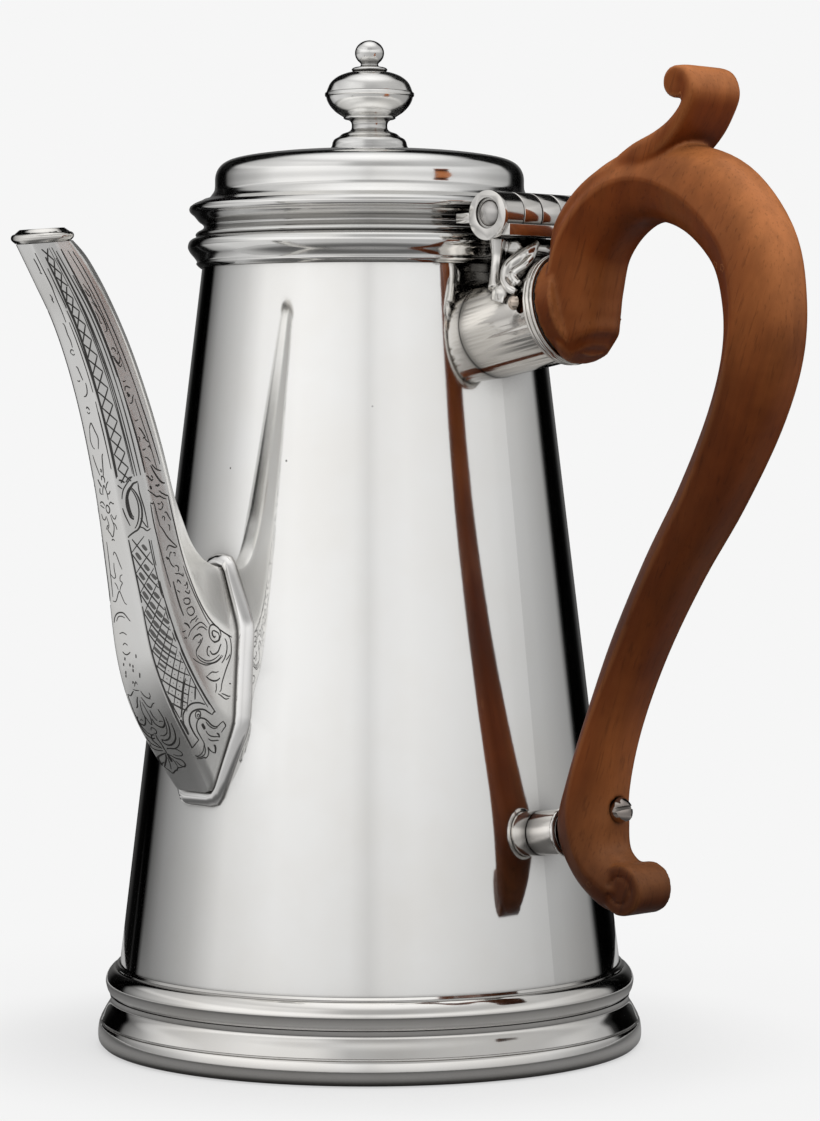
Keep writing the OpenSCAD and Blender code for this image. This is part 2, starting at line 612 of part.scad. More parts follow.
module finial_stud() color(aged)
  translate([0, 0, crown_z - lid_wall - 3]) cylinder(h = stud_top * finial_scale + lid_wall + 2.8, r = stud_r);
module finial_nut() color(aged) translate([0, 0, crown_z - lid_wall - 0.1 - 2.2]) difference() {
  cylinder(h = 2.2, d = nut_w / cos(30), $fn = 6);
  translate([0, 0, -1]) cylinder(h = 5, r = stud_r + 0.05);
}

body_shell();
base_disc();
foot_moulding();
rim_moulding();
spout_body();
spout_joint_frame();
spout_lip();
upper_socket();
upper_socket_collar();
lower_socket();
lower_socket_collar();
handle();
upper_handle_pin();
lower_handle_screw();
hinge_bracket();
hinge_body_leaf();
hinge_pin();
hinge_lid_leaf();
lid_moulding();
lid_shell();
lid_bezel();
finial_foot();
finial_urn_lower();
finial_urn_upper();
finial_ball();
finial_stud();
finial_nut();
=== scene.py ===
# %% [markdown]
# # A silver coffee pot
# The pot is a straight tapering body of sheet silver with turned mouldings, a domed lid on a
# five-knuckle hinge, an eight-sided curved spout with fine engraving, and a carved fruitwood
# handle held in two silver sockets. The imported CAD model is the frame: it gives every size.
# Here each piece that shows is either given a finish or modelled again with a smoother
# surface, exactly where its CAD node is.

# %% Load the frame and keep its box
import json
import math

import bpy
import numpy as np
from mathutils import Matrix, Vector

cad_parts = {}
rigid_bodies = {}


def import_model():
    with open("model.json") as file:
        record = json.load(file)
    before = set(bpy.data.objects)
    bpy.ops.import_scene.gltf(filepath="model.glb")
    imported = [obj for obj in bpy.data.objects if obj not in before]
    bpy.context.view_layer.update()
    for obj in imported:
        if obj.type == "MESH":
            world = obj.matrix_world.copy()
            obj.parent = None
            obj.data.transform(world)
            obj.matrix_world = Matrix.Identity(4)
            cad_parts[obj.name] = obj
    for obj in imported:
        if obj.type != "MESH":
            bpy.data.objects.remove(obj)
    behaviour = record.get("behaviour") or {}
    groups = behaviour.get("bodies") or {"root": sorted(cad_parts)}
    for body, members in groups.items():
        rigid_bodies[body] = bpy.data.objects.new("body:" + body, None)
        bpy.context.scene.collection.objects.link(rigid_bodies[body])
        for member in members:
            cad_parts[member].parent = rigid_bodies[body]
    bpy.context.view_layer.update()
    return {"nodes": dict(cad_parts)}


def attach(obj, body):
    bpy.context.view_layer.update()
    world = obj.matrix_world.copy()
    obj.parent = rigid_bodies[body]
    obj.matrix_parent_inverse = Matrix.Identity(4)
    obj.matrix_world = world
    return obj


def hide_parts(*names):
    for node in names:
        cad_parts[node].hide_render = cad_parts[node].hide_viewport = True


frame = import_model()
nodes = frame["nodes"]
MM = 0.001
SAME_PLACE = 0.000002  # points closer than this are one point


def nothing_selected():
    """Leave no object selected, so that the next operator acts on one piece only."""
    for thing in bpy.context.view_layer.objects:
        thing.select_set(False)


nothing_selected()
for plain in list(bpy.data.materials):
    bpy.data.materials.remove(plain)
bpy.context.scene.view_settings.view_transform = "Standard"
print("CAD nodes:", len(nodes))

# %% [markdown]
# ## The camera
# The camera looks from between the spout and the handle, from a little above half height,
# with a long lens, so that the pot's sides stay nearly straight. It only needs a position,
# a direction and a focal length.

# %% Camera
camera_data = bpy.data.cameras.new("camera")
camera_data.lens = 118.3
camera_data.sensor_width = 36
camera_data.sensor_fit = "AUTO"
camera = bpy.data.objects.new("camera", camera_data)
bpy.context.scene.collection.objects.link(camera)
camera.location = (0.6266, -0.6266, 0.1488)
looking = Vector((-0.69885, 0.71431, -0.03725)).normalized()
camera.rotation_mode = "QUATERNION"
camera.rotation_quaternion = looking.to_track_quat("-Z", "Y")
bpy.context.scene.camera = camera
print("camera looks along", [round(v, 4) for v in looking])

# %% [markdown]
# ## Helpers for node materials
# Every finish below is a small tree of nodes. Two short helpers keep the trees readable:
# one adds a node and fills its inputs, the other joins an output to an input.

# %% Node helpers
def add_node(tree, kind, settings=None, **inputs):
    """A new node with its properties from settings and its sockets' values or links."""
    node = tree.nodes.new(kind)
    for key, value in (settings or {}).items():
        setattr(node, key, value)
    for key, value in inputs.items():
        feed(tree, node, key, value)
    return node


def feed(tree, node, key, value):
    """Put a number, a colour or another node's output into a socket, by its name or as i and its number."""
    by_number = key[0] == "i" and key[1:].isdigit()
    socket = node.inputs[int(key[1:]) if by_number else key.replace("_", " ")]
    if isinstance(value, bpy.types.NodeSocket):
        tree.links.new(value, socket)
    else:
        socket.default_value = value


def maths(tree, operation, *values):
    """The result of one Math node."""
    node = tree.nodes.new("ShaderNodeMath")
    node.operation = operation
    for place, value in enumerate(values):
        feed(tree, node, f"i{place}", value)
    return node.outputs[0]


def ramp(tree, value, stops, interpolation="LINEAR"):
    """A colour ramp: stops are (position, grey or colour)."""
    node = tree.nodes.new("ShaderNodeValToRGB")
    node.color_ramp.interpolation = interpolation
    band = node.color_ramp.elements
    while len(band) < len(stops):
        band.new(0.5)
    for element, (place, colour) in zip(band, stops):
        element.position = place
    for element, (place, colour) in zip(band, stops):
        if not hasattr(colour, "__len__"):
            colour = (colour,) * 3
        element.color = (*colour, 1)
    tree.links.new(value, node.inputs[0])
    return node.outputs[0]


# %% Helpers for colours, noise and bumps
def blend(tree, share, first, second, way="MIX"):
    """Two colours mixed, or multiplied, by a share from 0 to 1."""
    return add_node(tree, "ShaderNodeMix", {"data_type": "RGBA", "blend_type": way},
                    i0=share, i6=first, i7=second).outputs[2]


def times(tree, first, second, share=1.0):
    """One colour multiplied by another."""
    return blend(tree, share, first, second, "MULTIPLY")


def noise(tree, place, scale, detail, **more):
    """Soft noise at a place."""
    return add_node(tree, "ShaderNodeTexNoise", Vector=place, Scale=scale, Detail=detail, **more).outputs["Fac"]


def bumps(tree, *layers):
    """A normal with several bumps on top of each other: strength, depth in metres, height."""
    normal = {}
    for strength, depth, high in layers:
        bump = add_node(tree, "ShaderNodeBump", Strength=strength, Distance=depth, Height=high, **normal)
        normal = {"Normal": bump.outputs[0]}
    return bump.outputs[0]


def surface(tree, shader, kind="Material"):
    """Join a shader to the tree's output."""
    tree.links.new(shader.outputs[0], add_node(tree, "ShaderNodeOutput" + kind).inputs[0])


def fresh_tree(owner):
    """The owner's node tree, emptied."""
    owner.use_nodes = True
    owner.node_tree.nodes.clear()
    return owner.node_tree


# %% [markdown]
# ## Light
# Polished silver shows its surroundings more than itself, so the surroundings are the
# light. Silver is often set in a white tent, with dark boards that draw a line down each
# edge of the metal. A world shader can hold all of it by direction, how far round the pot
# and how high, and answers each kind of ray in its own way. Shiny rays see the tent, with
# a brighter and a darker side, a darker table below, a roof, and boards straight behind
# the pot. Diffuse rays see a soft sky without boards, brighter above and to the right.
# The camera itself sees the plain pale backdrop.

# %% Directions in the world
BACKDROP = 0.922
TOWARDS_CAMERA = math.radians(-45.6)
world = bpy.data.worlds.new("tent")
bpy.context.scene.world = world
tree = fresh_tree(world)
direction = add_node(tree, "ShaderNodeTexCoord").outputs["Generated"]
turned_tent = add_node(tree, "ShaderNodeVectorRotate", {"rotation_type": "Z_AXIS"},
                       Vector=direction, Angle=-TOWARDS_CAMERA)
parts = add_node(tree, "ShaderNodeSeparateXYZ", Vector=turned_tent.outputs[0])
across = maths(tree, "ARCTAN2", parts.outputs[1], parts.outputs[0])
around = maths(tree, "MULTIPLY_ADD", across, 0.5 / math.pi, 0.5)
height = maths(tree, "MULTIPLY_ADD", maths(tree, "ARCSINE", parts.outputs[2]), 1 / math.pi, 0.5)


def by_turn(*stops):
    """Grey by the angle round the pot in degrees: 0 is the camera's side, negative its left."""
    return ramp(tree, around, [(0.5 + angle / 360, grey) for angle, grey in stops])


def by_rise(*stops):
    """Grey by the angle above the table in degrees."""
    return ramp(tree, height, [(0.5 + angle / 180, grey) for angle, grey in stops])


print("the camera's side lies at", round(math.degrees(TOWARDS_CAMERA), 1), "degrees")

# %% The tent that shiny rays see
sides = by_turn((-180, 0.5), (-160, 0.32), (-146, 0.0), (-136, 0.0), (-132, 0.12), (-118, 0.34), (-92, 0.60),
                (-74, 0.88), (-45, 0.95), (-25, 0.90), (-9, 0.84), (0, 0.72), (7, 0.81), (22, 0.84), (38, 0.80),
                (80, 0.68), (104, 0.50), (126, 0.38), (131, 0.02), (145, 0.0), (160, 0.32), (180, 0.5))
table_sides = by_turn((-180, 0.0), (-140, 0.2), (-112, 0.6), (-75, 0.66), (-30, 0.52), (10, 0.45), (70, 0.40),
                      (110, 0.36), (128, 0.3), (134, 0.0), (180, 0.0))
roof_sides = by_turn((-180, 0.0), (-137, 0.0), (-128, 1.0), (-110, 1.3), (-60, 1.85), (-28, 1.7), (-10, 1.0),
                     (12, 0.9), (45, 1.1), (100, 1.1), (126, 0.9), (132, 0.0), (180, 0.0))
walls = times(tree, sides, by_rise((-2, 0.66), (3, 0.8), (9, 1.0), (18, 1.05)))
table = times(tree, table_sides, by_rise((-90, 0.4), (-64, 0.75), (-45, 1.0)))
low_part = blend(tree, by_rise((-7, 1.0), (-2, 0.0)), walls, table)
roof_edge = times(tree, by_rise((22, 0.60), (32, 0.42), (46, 0.46)), roof_sides)
roof_top = by_rise((54, 0.62), (70, 0.95), (90, 1.1))
roof = blend(tree, by_rise((46, 0.0), (56, 1.0)), roof_edge, roof_top)
tent = blend(tree, by_rise((19, 0.0), (27, 1.0)), low_part, roof)

# the boards go by how far a direction is from straight behind the pot
behind = add_node(tree, "ShaderNodeVectorMath", {"operation": "DOT_PRODUCT"},
                  i0=direction, i1=tuple(looking)).outputs["Value"]
off_centre = maths(tree, "DIVIDE", maths(tree, "ARCCOSINE", behind), math.pi)
boards = ramp(tree, off_centre, [(angle / 180, grey) for angle, grey in (
    (0, 0.4), (16, 0.3), (27, 0.02), (36, 0.02), (37.5, 0.25), (39, 0.02), (46, 0.0), (50, 1.0))])
shiny = times(tree, tent, boards)
print("tent made for shiny rays")

# %% The sky that diffuse rays see, and the backdrop
sky = times(tree, by_rise((-90, 0.02), (-15, 0.07), (8, 0.55), (40, 1.5), (90, 1.4)),
            by_turn((-180, 0.65), (-95, 0.62), (-30, 0.8), (35, 1.32), (95, 1.2), (150, 0.7), (180, 0.65)))
ray = add_node(tree, "ShaderNodeLightPath").outputs
lit = blend(tree, ray["Is Glossy Ray"], sky, shiny)
seen = blend(tree, ray["Is Camera Ray"], lit, (BACKDROP, BACKDROP, BACKDROP, 1))
surface(tree, add_node(tree, "ShaderNodeBackground", Color=seen, Strength=1.0), "World")
print("world made")

# %% [markdown]
# ## Floor
# The pot stands on a plain pale sheet. Close to the foot the sheet is really lit, so the
# pot's soft shadow lies on it. Further out it turns into the backdrop's own tone, which
# hides where it ends. Shiny rays are given a darker sheet than the camera sees, which
# keeps the foot from mirroring a bright table, and a painted shadow on it: a dark ring
# around the pot, which the spout and the mouldings mirror.

# %% Floor
SHEET_R = 0.24
nothing_selected()
bpy.ops.mesh.primitive_circle_add(vertices=96, radius=SHEET_R, fill_type="NGON", location=(0, 0, -0.0003))
floor = bpy.context.object
floor.name = "floor_sheet"
floor_paint = bpy.data.materials.new("floor_sheet")
tree = fresh_tree(floor_paint)
spot = add_node(tree, "ShaderNodeTexCoord").outputs["Object"]
reach = add_node(tree, "ShaderNodeVectorMath", {"operation": "LENGTH"}, i0=spot).outputs["Value"]
share = maths(tree, "DIVIDE", reach, SHEET_R)
near_pot = ramp(tree, share, [(0.3, 0.42), (0.5, 0.1), (0.9, 0.0)], "EASE")
# painted shadow for shiny rays: a dark ring round the foot, darkest about 11 cm from the axis
painted_shadow_ring = ramp(tree, share, [(0.30, 0.30), (0.36, 0.20), (0.46, 0.11), (0.62, 0.13), (0.85, 0.40)])


def matt(colour):
    return add_node(tree, "ShaderNodeBsdfDiffuse", Color=colour).outputs[0]


def either(chance, first, second):
    return add_node(tree, "ShaderNodeMixShader", i0=chance, i1=first, i2=second).outputs[0]


flat = add_node(tree, "ShaderNodeEmission", Color=(BACKDROP, BACKDROP, BACKDROP, 1), Strength=1.0)
shown = either(near_pot, flat.outputs[0], matt((0.72, 0.72, 0.72, 1)))
ray = add_node(tree, "ShaderNodeLightPath").outputs
unseen = either(ray["Is Glossy Ray"], matt((0.25, 0.25, 0.25, 1)), matt(painted_shadow_ring))
tree.links.new(either(ray["Is Camera Ray"], unseen, shown), add_node(tree, "ShaderNodeOutputMaterial").inputs[0])
floor.data.materials.append(floor_paint)
print("floor made, radius", SHEET_R, "m")

# %% [markdown]
# ## Silver
# Old silver is bright and nearly neutral, but not a perfect mirror: two centuries of
# polishing leave a fine haze, hair scratches, tiny pits and a warmer tone where the
# cloth does not reach. One function makes all of the silver finishes, with the amount of
# haze, warmth and wear as numbers, so that the pieces belong together and still differ.

# %% Silver finish
def silver_finish(name, tone=(0.93, 0.925, 0.91), haze=0.07, warmth=0.3, wear=0.5, pits=0.0, shelter=3.5):
    """Polished silver: tone is its colour, haze its least roughness, shelter how far the darkening in hollows and
    between parts reaches in mm, part tarnish and part painted shade.
    """
    paint = bpy.data.materials.new(name)
    tree = fresh_tree(paint)
    place = add_node(tree, "ShaderNodeTexCoord").outputs["Object"]
    cloud = noise(tree, place, 38.0, 4.0, Roughness=0.55)
    fine = noise(tree, place, 900.0, 3.0, Roughness=0.6)
    hair_place = add_node(tree, "ShaderNodeMapping", {"vector_type": "POINT"}, Vector=place,
                          Rotation=(0.5, 0.35, 0.9), Scale=(60.0, 900.0, 60.0)).outputs[0]
    hair = noise(tree, hair_place, 1.0, 3.0, Roughness=0.7)
    dull = tuple(t * k for t, k in zip(tone, (0.90, 0.87, 0.82)))
    film = ramp(tree, cloud, [(0.42, 0.0), (0.72, warmth)])
    colour = blend(tree, film, (*tone, 1), (*dull, 1))
    rough = maths(tree, "MULTIPLY_ADD", hair, 0.05 * wear, haze)
    rough = maths(tree, "MULTIPLY_ADD", ramp(tree, cloud, [(0.35, 0.0), (0.75, 1.0)]), 0.05 * wear, rough)
    if pits > 0:
        dots = add_node(tree, "ShaderNodeTexVoronoi", Vector=place, Scale=130.0, Randomness=1.0)
        chance = add_node(tree, "ShaderNodeSeparateColor", Color=dots.outputs["Color"]).outputs[0]
        rare = maths(tree, "LESS_THAN", chance, pits)
        dark = maths(tree, "MULTIPLY", rare, ramp(tree, dots.outputs["Distance"], [(0.024, 1.0), (0.046, 0.0)]))
        colour = blend(tree, dark, colour, (0.12, 0.11, 0.10, 1))
        rough = maths(tree, "MULTIPLY_ADD", dark, 0.4, rough)
    # darker colour wherever other surfaces are near, within shelter mm: tarnish in the hollows, and painted shade in
    # creases, gaps and between parts
    hidden = add_node(tree, "ShaderNodeAmbientOcclusion", {"samples": 8}, Distance=shelter * MM)
    tarnish_and_painted_shade = ramp(tree, hidden.outputs["AO"], [(0.3, 0.95), (0.65, 0.4), (0.92, 0.0)])
    colour = blend(tree, tarnish_and_painted_shade, colour, (0.10, 0.093, 0.085, 1))
    # hair scratches, fine wear, and the shallow unevenness that planishing leaves
    normal = bumps(tree, (0.08 * wear, 0.00002, hair), (0.16 * wear, 0.00002, fine), (0.10 * wear, 0.0001, cloud))
    surface(tree, add_node(tree, "ShaderNodeBsdfPrincipled", Base_Color=colour, Metallic=1.0, Roughness=rough,
                           Normal=normal))
    return paint


# %% Silver for each piece
CAST = {"warmth": 0.6, "wear": 0.9}
TURNED = {"haze": 0.05, "wear": 1.4, "pits": 0.3}
BAND = {"haze": 0.05, "wear": 1.1, "pits": 0.1, "shelter": 9}
SCREWED = {"tone": (0.8, 0.78, 0.74), "haze": 0.2}
FINISH = {node: silver_finish(name, **look) for node, name, look in (
    ("body_shell", "body_silver", {"haze": 0.045, "pits": 0.16, "shelter": 10}),
    ("base_disc", "base_silver", {"haze": 0.12, "warmth": 0.8}),
    ("foot_moulding", "foot_silver",
     {"tone": (0.92, 0.905, 0.88), "haze": 0.04, "warmth": 0.5, "wear": 0.8, "pits": 0.2, "shelter": 6}),
    ("rim_moulding", "rim_silver", BAND),
    ("spout_body", "engraved_silver", {"tone": (0.92, 0.915, 0.90), "haze": 0.19, "wear": 1.2, "shelter": 1.2}),
    ("spout_joint_frame", "frame_silver", {"tone": (0.90, 0.89, 0.88), "haze": 0.06, "shelter": 1.2}),
    ("spout_lip", "lip_silver", {"tone": (0.91, 0.89, 0.85), "haze": 0.07}),
    ("upper_socket", "fitting_silver", {"tone": (0.90, 0.87, 0.83), "haze": 0.07, **CAST}),
    ("upper_socket_collar", "collar_silver", {"tone": (0.90, 0.87, 0.83), "haze": 0.08, **CAST}),
    ("lower_socket", "lower_fitting_silver", {"tone": (0.90, 0.87, 0.84), "haze": 0.07}),
    ("lower_socket_collar", "lower_collar_silver", {"tone": (0.90, 0.87, 0.84), "haze": 0.08}),
    ("upper_handle_pin", "rivet_silver", {"tone": (0.70, 0.60, 0.52), "haze": 0.12, "warmth": 0.8}),
    ("lower_handle_screw", "screw_silver", {"tone": (0.42, 0.375, 0.345), "haze": 0.08}),
    ("hinge_bracket", "bracket_silver", {"tone": (0.88, 0.86, 0.83), "haze": 0.09, "warmth": 0.6}),
    ("hinge_body_leaf", "leaf_silver", {"tone": (0.90, 0.875, 0.84), "haze": 0.08, **CAST}),
    ("hinge_pin", "pin_silver", {"tone": (0.62, 0.60, 0.58), "haze": 0.25, "wear": 1.5}),
    ("hinge_lid_leaf", "lid_leaf_silver", {"tone": (0.90, 0.875, 0.84), "haze": 0.08, **CAST}),
    ("lid_moulding", "lid_moulding_silver", BAND),
    ("lid_shell", "lid_silver", {"haze": 0.05, "wear": 1.3, "pits": 0.2}),
    ("lid_bezel", "bezel_silver", {"haze": 0.12, "warmth": 0.7}),
    ("finial_foot", "finial_foot_silver", TURNED), ("finial_urn_lower", "urn_lower_silver", TURNED),
    ("finial_urn_upper", "urn_upper_silver", TURNED), ("finial_ball", "ball_silver", TURNED),
    ("finial_stud", "stud_silver", SCREWED), ("finial_nut", "nut_silver", SCREWED))}
engraving_dark = silver_finish("engraving_dark", tone=(0.09, 0.088, 0.085), haze=0.35)
shading_dark = silver_finish("shading_dark", tone=(0.2, 0.196, 0.19), haze=0.3)
print("silver finishes:", len(FINISH) + 2)

# %% [markdown]
# ## Fruitwood
# The handle is sawn from one plank of fruitwood, so the grain runs the same way all along
# it, up and slightly outwards, whatever way the handle bends. The upward and outer faces and
# the ridges are lighter and shinier, partly from wear and partly as painted light, and the colour
# is darkened by height and in creases as painted shade. The grain is noise stretched along the plank, with darker
# pores.

# %% Fruitwood finish
def fruitwood_finish(name):
    """Oiled old fruitwood with its grain along the plank."""
    paint = bpy.data.materials.new(name)
    tree = fresh_tree(paint)
    where = add_node(tree, "ShaderNodeTexCoord").outputs
    place = where["Object"]
    plank = add_node(tree, "ShaderNodeVectorRotate", {"rotation_type": "Y_AXIS"}, Vector=place,
                     Angle=math.radians(-20)).outputs[0]

    def along(across_scale, along_scale, detail, **more):
        """Noise drawn out along the plank."""
        long_place = add_node(tree, "ShaderNodeMapping", Vector=plank,
                              Scale=(across_scale, across_scale, along_scale)).outputs[0]
        return noise(tree, long_place, 1.0, detail, **more)

    grain = along(300.0, 14.0, 5.0, Roughness=0.6, Distortion=0.4)
    broad = along(60.0, 9.0, 3.0)
    pores = along(1800.0, 110.0, 2.0)
    patch = noise(tree, place, 45.0, 4.0)
    colour = ramp(tree, broad, [(0.3, (0.160, 0.030, 0.005)), (0.5, (0.220, 0.050, 0.009)),
                                (0.7, (0.290, 0.080, 0.017))])
    # the upward and outer faces and the ridges are lighter: partly wear from hands and polishing, and partly painted
    # light on the faces that turn towards the light
    outward = add_node(tree, "ShaderNodeVectorMath", {"operation": "DOT_PRODUCT"},
                       i0=where["Normal"], i1=(0.5, -0.1, 0.85)).outputs["Value"]
    wear_and_painted_light = ramp(tree, maths(tree, "MULTIPLY_ADD", patch, 0.5, outward), [(0.28, 0.0), (1.1, 0.88)])
    ridge = ramp(tree, add_node(tree, "ShaderNodeNewGeometry").outputs["Pointiness"],
                 [(0.505, 0.0), (0.53, 0.6), (0.56, 0.6), (0.59, 0.0)])
    colour = blend(tree, maths(tree, "MAXIMUM", wear_and_painted_light, ridge), colour, (0.44, 0.157, 0.05, 1))
    # painted light and shade by height: darker towards the bottom roll and in the middle of the grip, whose faces turn
    # downward, and lighter towards the top
    level = maths(tree, "MULTIPLY", add_node(tree, "ShaderNodeSeparateXYZ", Vector=place).outputs[2], 4.0)
    painted_light_and_shade_by_height = ramp(tree, level, [(0.16, 0.30), (0.22, 0.50), (0.30, 0.85), (0.42, 0.6), (0.52, 0.6), (0.62, 0.92),
                               (0.74, 1.1), (0.90, 1.25)])
    # painted shade: the colour darkens in creases and hollows, such as under the hook
    shelter = add_node(tree, "ShaderNodeAmbientOcclusion", {"samples": 8}, Distance=0.007).outputs["AO"]
    for layer, share in ((painted_light_and_shade_by_height, 1.0),
                         (ramp(tree, patch, [(0.3, 0.72), (0.5, 1.0), (0.7, 1.12)]), 1.0),
                         (ramp(tree, grain, [(0.35, 0.74), (0.6, 1.05)]), 0.6),
                         (ramp(tree, pores, [(0.30, 0.5), (0.42, 1.0)]), 0.5),
                         (ramp(tree, shelter, [(0.3, 0.25), (0.8, 1.0)]), 1.0)):
        colour = times(tree, colour, layer, share)
    rough = maths(tree, "MULTIPLY_ADD", patch, 0.2, 0.36)
    surface(tree, add_node(tree, "ShaderNodeBsdfPrincipled", Base_Color=colour, Roughness=rough,
                           Normal=bumps(tree, (0.15, 0.0001, grain), (0.1, 0.00005, pores)),
                           Specular_IOR_Level=0.12, Coat_Weight=0.04, Coat_Roughness=0.28))
    return paint


FINISH["handle"] = fruitwood_finish("fruitwood")
print("fruitwood made")

# %% [markdown]
# ## Finishes on the CAD nodes
# A CAD node whose shape is already right only needs its finish: the body, the base, the
# lid's collar and the stud and nut. The pieces that are modelled again below hide theirs.

# %% Finish every node
for name, paint in FINISH.items():
    mesh = nodes[name].data
    mesh.materials.clear()
    mesh.materials.append(paint)
print("finished nodes:", len(FINISH))

# %% [markdown]
# ## Turned pieces
# The mouldings, the dome and the finial were turned or drawn round an axis. The same is
# done here: one point is extruded along the outline, and the outline is spun round the
# axis. The CAD outlines are repeated, with more points, so that the metal's reflections
# flow without facets. The foot gets three fine grooves more, which the CAD model is too
# plain to hold.

# %% Outline and spin helpers
def smooth_line(points, steps):
    """A curve through points of any size, with steps to each stretch."""
    points = np.array(points, float)
    last = len(points) - 1
    line = []
    for i in range(last):
        a, b, c, d = points[max(i - 1, 0)], points[i], points[i + 1], points[min(i + 2, last)]
        for t in np.arange(steps) / steps:
            line.append(0.5 * (2 * b + (c - a) * t + (2 * a - 5 * b + 4 * c - d) * t * t
                               + (3 * b - a - 3 * c + d) * t ** 3))
    line.append(points[last])
    return [tuple(p) for p in line]


# %% Editing helpers
def active(obj):
    """Make one piece selected and active, alone."""
    nothing_selected()
    bpy.context.view_layer.objects.active = obj
    obj.select_set(True)


def edit_mode(obj, pick="SELECT"):
    """Edit a piece with all of it selected, or none."""
    active(obj)
    bpy.ops.object.mode_set(mode="EDIT")
    bpy.ops.mesh.select_all(action=pick)


def object_mode():
    bpy.ops.object.mode_set(mode="OBJECT")


def outwards():
    """Turn every face of the mesh in edit mode outwards, and leave edit mode."""
    bpy.ops.mesh.select_all(action="SELECT")
    bpy.ops.mesh.normals_make_consistent(inside=False)
    object_mode()


def placed():
    """The new primitive, with its place in its mesh."""
    bpy.ops.object.transform_apply(location=True, rotation=True, scale=True)
    return bpy.context.object


def modified(obj, kind, **settings):
    """Add a modifier with its settings and apply it."""
    bpy.context.view_layer.objects.active = obj
    change = obj.modifiers.new(kind.lower(), kind)
    for key, value in settings.items():
        setattr(change, key, value)
    bpy.ops.object.modifier_apply(modifier=change.name)


def smooth_by(degrees):
    """Smooth the active piece, except over edges sharper than an angle."""
    bpy.ops.object.shade_smooth_by_angle(angle=math.radians(degrees))


# %% Finished pieces and turned pieces
def settle(obj, name, body, node=None, paint=None):
    """Name a finished piece, give it a finish and a body, and hide the node that it stands for."""
    paint = paint or FINISH[node]
    obj.name = name
    obj.data.name = name
    obj.data.materials.clear()
    obj.data.materials.append(paint)
    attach(obj, body)
    if node:
        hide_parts(node)
    obj.select_set(False)
    print(name, len(obj.data.polygons), "faces")


def spun(outline, closed=True, steps=240):
    """A piece turned round the pot's axis from [radius, height] points in millimetres."""
    nothing_selected()
    here = first = outline[0]
    bpy.ops.mesh.primitive_plane_add(size=MM, location=(first[0] * MM, 0, first[1] * MM))
    obj = placed()
    edit_mode(obj)
    bpy.ops.mesh.merge(type="CENTER")
    for point in list(outline[1:]) + ([first] if closed else []):
        bpy.ops.mesh.extrude_region_move(TRANSFORM_OT_translate={
            "value": ((point[0] - here[0]) * MM, 0, (point[1] - here[1]) * MM)})
        here = point
    bpy.ops.mesh.select_all(action="SELECT")
    bpy.ops.mesh.spin(steps=steps, angle=2 * math.pi, center=(0, 0, 0), axis=(0, 0, 1))
    bpy.ops.mesh.select_all(action="SELECT")
    bpy.ops.mesh.remove_doubles(threshold=SAME_PLACE)
    outwards()
    smooth_by(30)
    return obj


# %% Sizes of the body
BODY_FOOT_R = 62.55
BODY_TOP_R = 39.3
BODY_TOP_Z = 193
SLOPE = (BODY_FOOT_R - BODY_TOP_R) / BODY_TOP_Z


def body_r(z):
    """Radius of the body at a height in millimetres."""
    return BODY_FOOT_R - SLOPE * z


print("the body narrows by", round(SLOPE, 4), "mm for each mm of height")


# %% Foot moulding
foot_line = (
    smooth_line([[1.8, 0], [2.9, 1.1], [3.3, 3], [3.3, 4.9], [3.15, 5.6]], 5)
    + [(2.75, 5.75), (2.75, 6.1)]
    + smooth_line([[3.0, 6.25], [2.2, 8.2], [1.4, 9.8], [1.2, 10.8], [1.55, 12]], 5)
    + [(1.1, 12.15), (1.1, 12.6)]
    + smooth_line([[1.9, 12.75], [2.4, 13.6], [2.9, 15.3], [2.6, 16.9], [1.9, 18], [1.4, 18.4]], 5)
    + [(0.8, 18.45), (0.8, 18.8), (1.0, 18.9), (0.6, 19.4)])
foot = spun([(body_r(0) + 0.1, 0)] + [(body_r(z) + r, z) for r, z in foot_line] + [(body_r(19.4) + 0.1, 19.4)])
settle(foot, "foot", "pot", "foot_moulding")

# %% Rim moulding
rim_line = [(0.35, 0)] + smooth_line([[0.9, 0.4], [1.5, 1], [1.4, 1.5], [1.7, 2], [2.3, 2.7], [3.1, 3.5],
                                      [3.8, 4.5], [4, 5.3], [3.8, 6.3], [3.2, 6.9], [2.5, 7.2]], 4)
RIM_Z = 185.8
rim = spun([(body_r(RIM_Z) + 0.1, RIM_Z)] + [(body_r(RIM_Z + z) + r, RIM_Z + z) for r, z in rim_line]
           + [(BODY_TOP_R + 0.1, BODY_TOP_Z)])
settle(rim, "rim", "pot", "rim_moulding")

# %% Lid moulding
LID_Z = 193.25
LID_R = 43.2
band_line = (smooth_line([[1.7, 0], [1.5, 0.5], [1.9, 1.1], [3.1, 1.8], [3.5, 2.4], [3.2, 3], [2.3, 3.7],
                          [1.7, 4.4], [1.1, 5.1], [0.3, 5.8], [0, 6.5], [0.2, 7.2]], 4)
             + smooth_line([[0.2, 7.2], [1.2, 7.9], [2.6, 8.5], [3.4, 8.9]], 4)[1:])
lid_band = spun([(37.2, LID_Z)] + [(LID_R - r, LID_Z + z) for r, z in band_line] + [(37.2, LID_Z + 8.9)])
settle(lid_band, "lid_band", "lid", "lid_moulding")

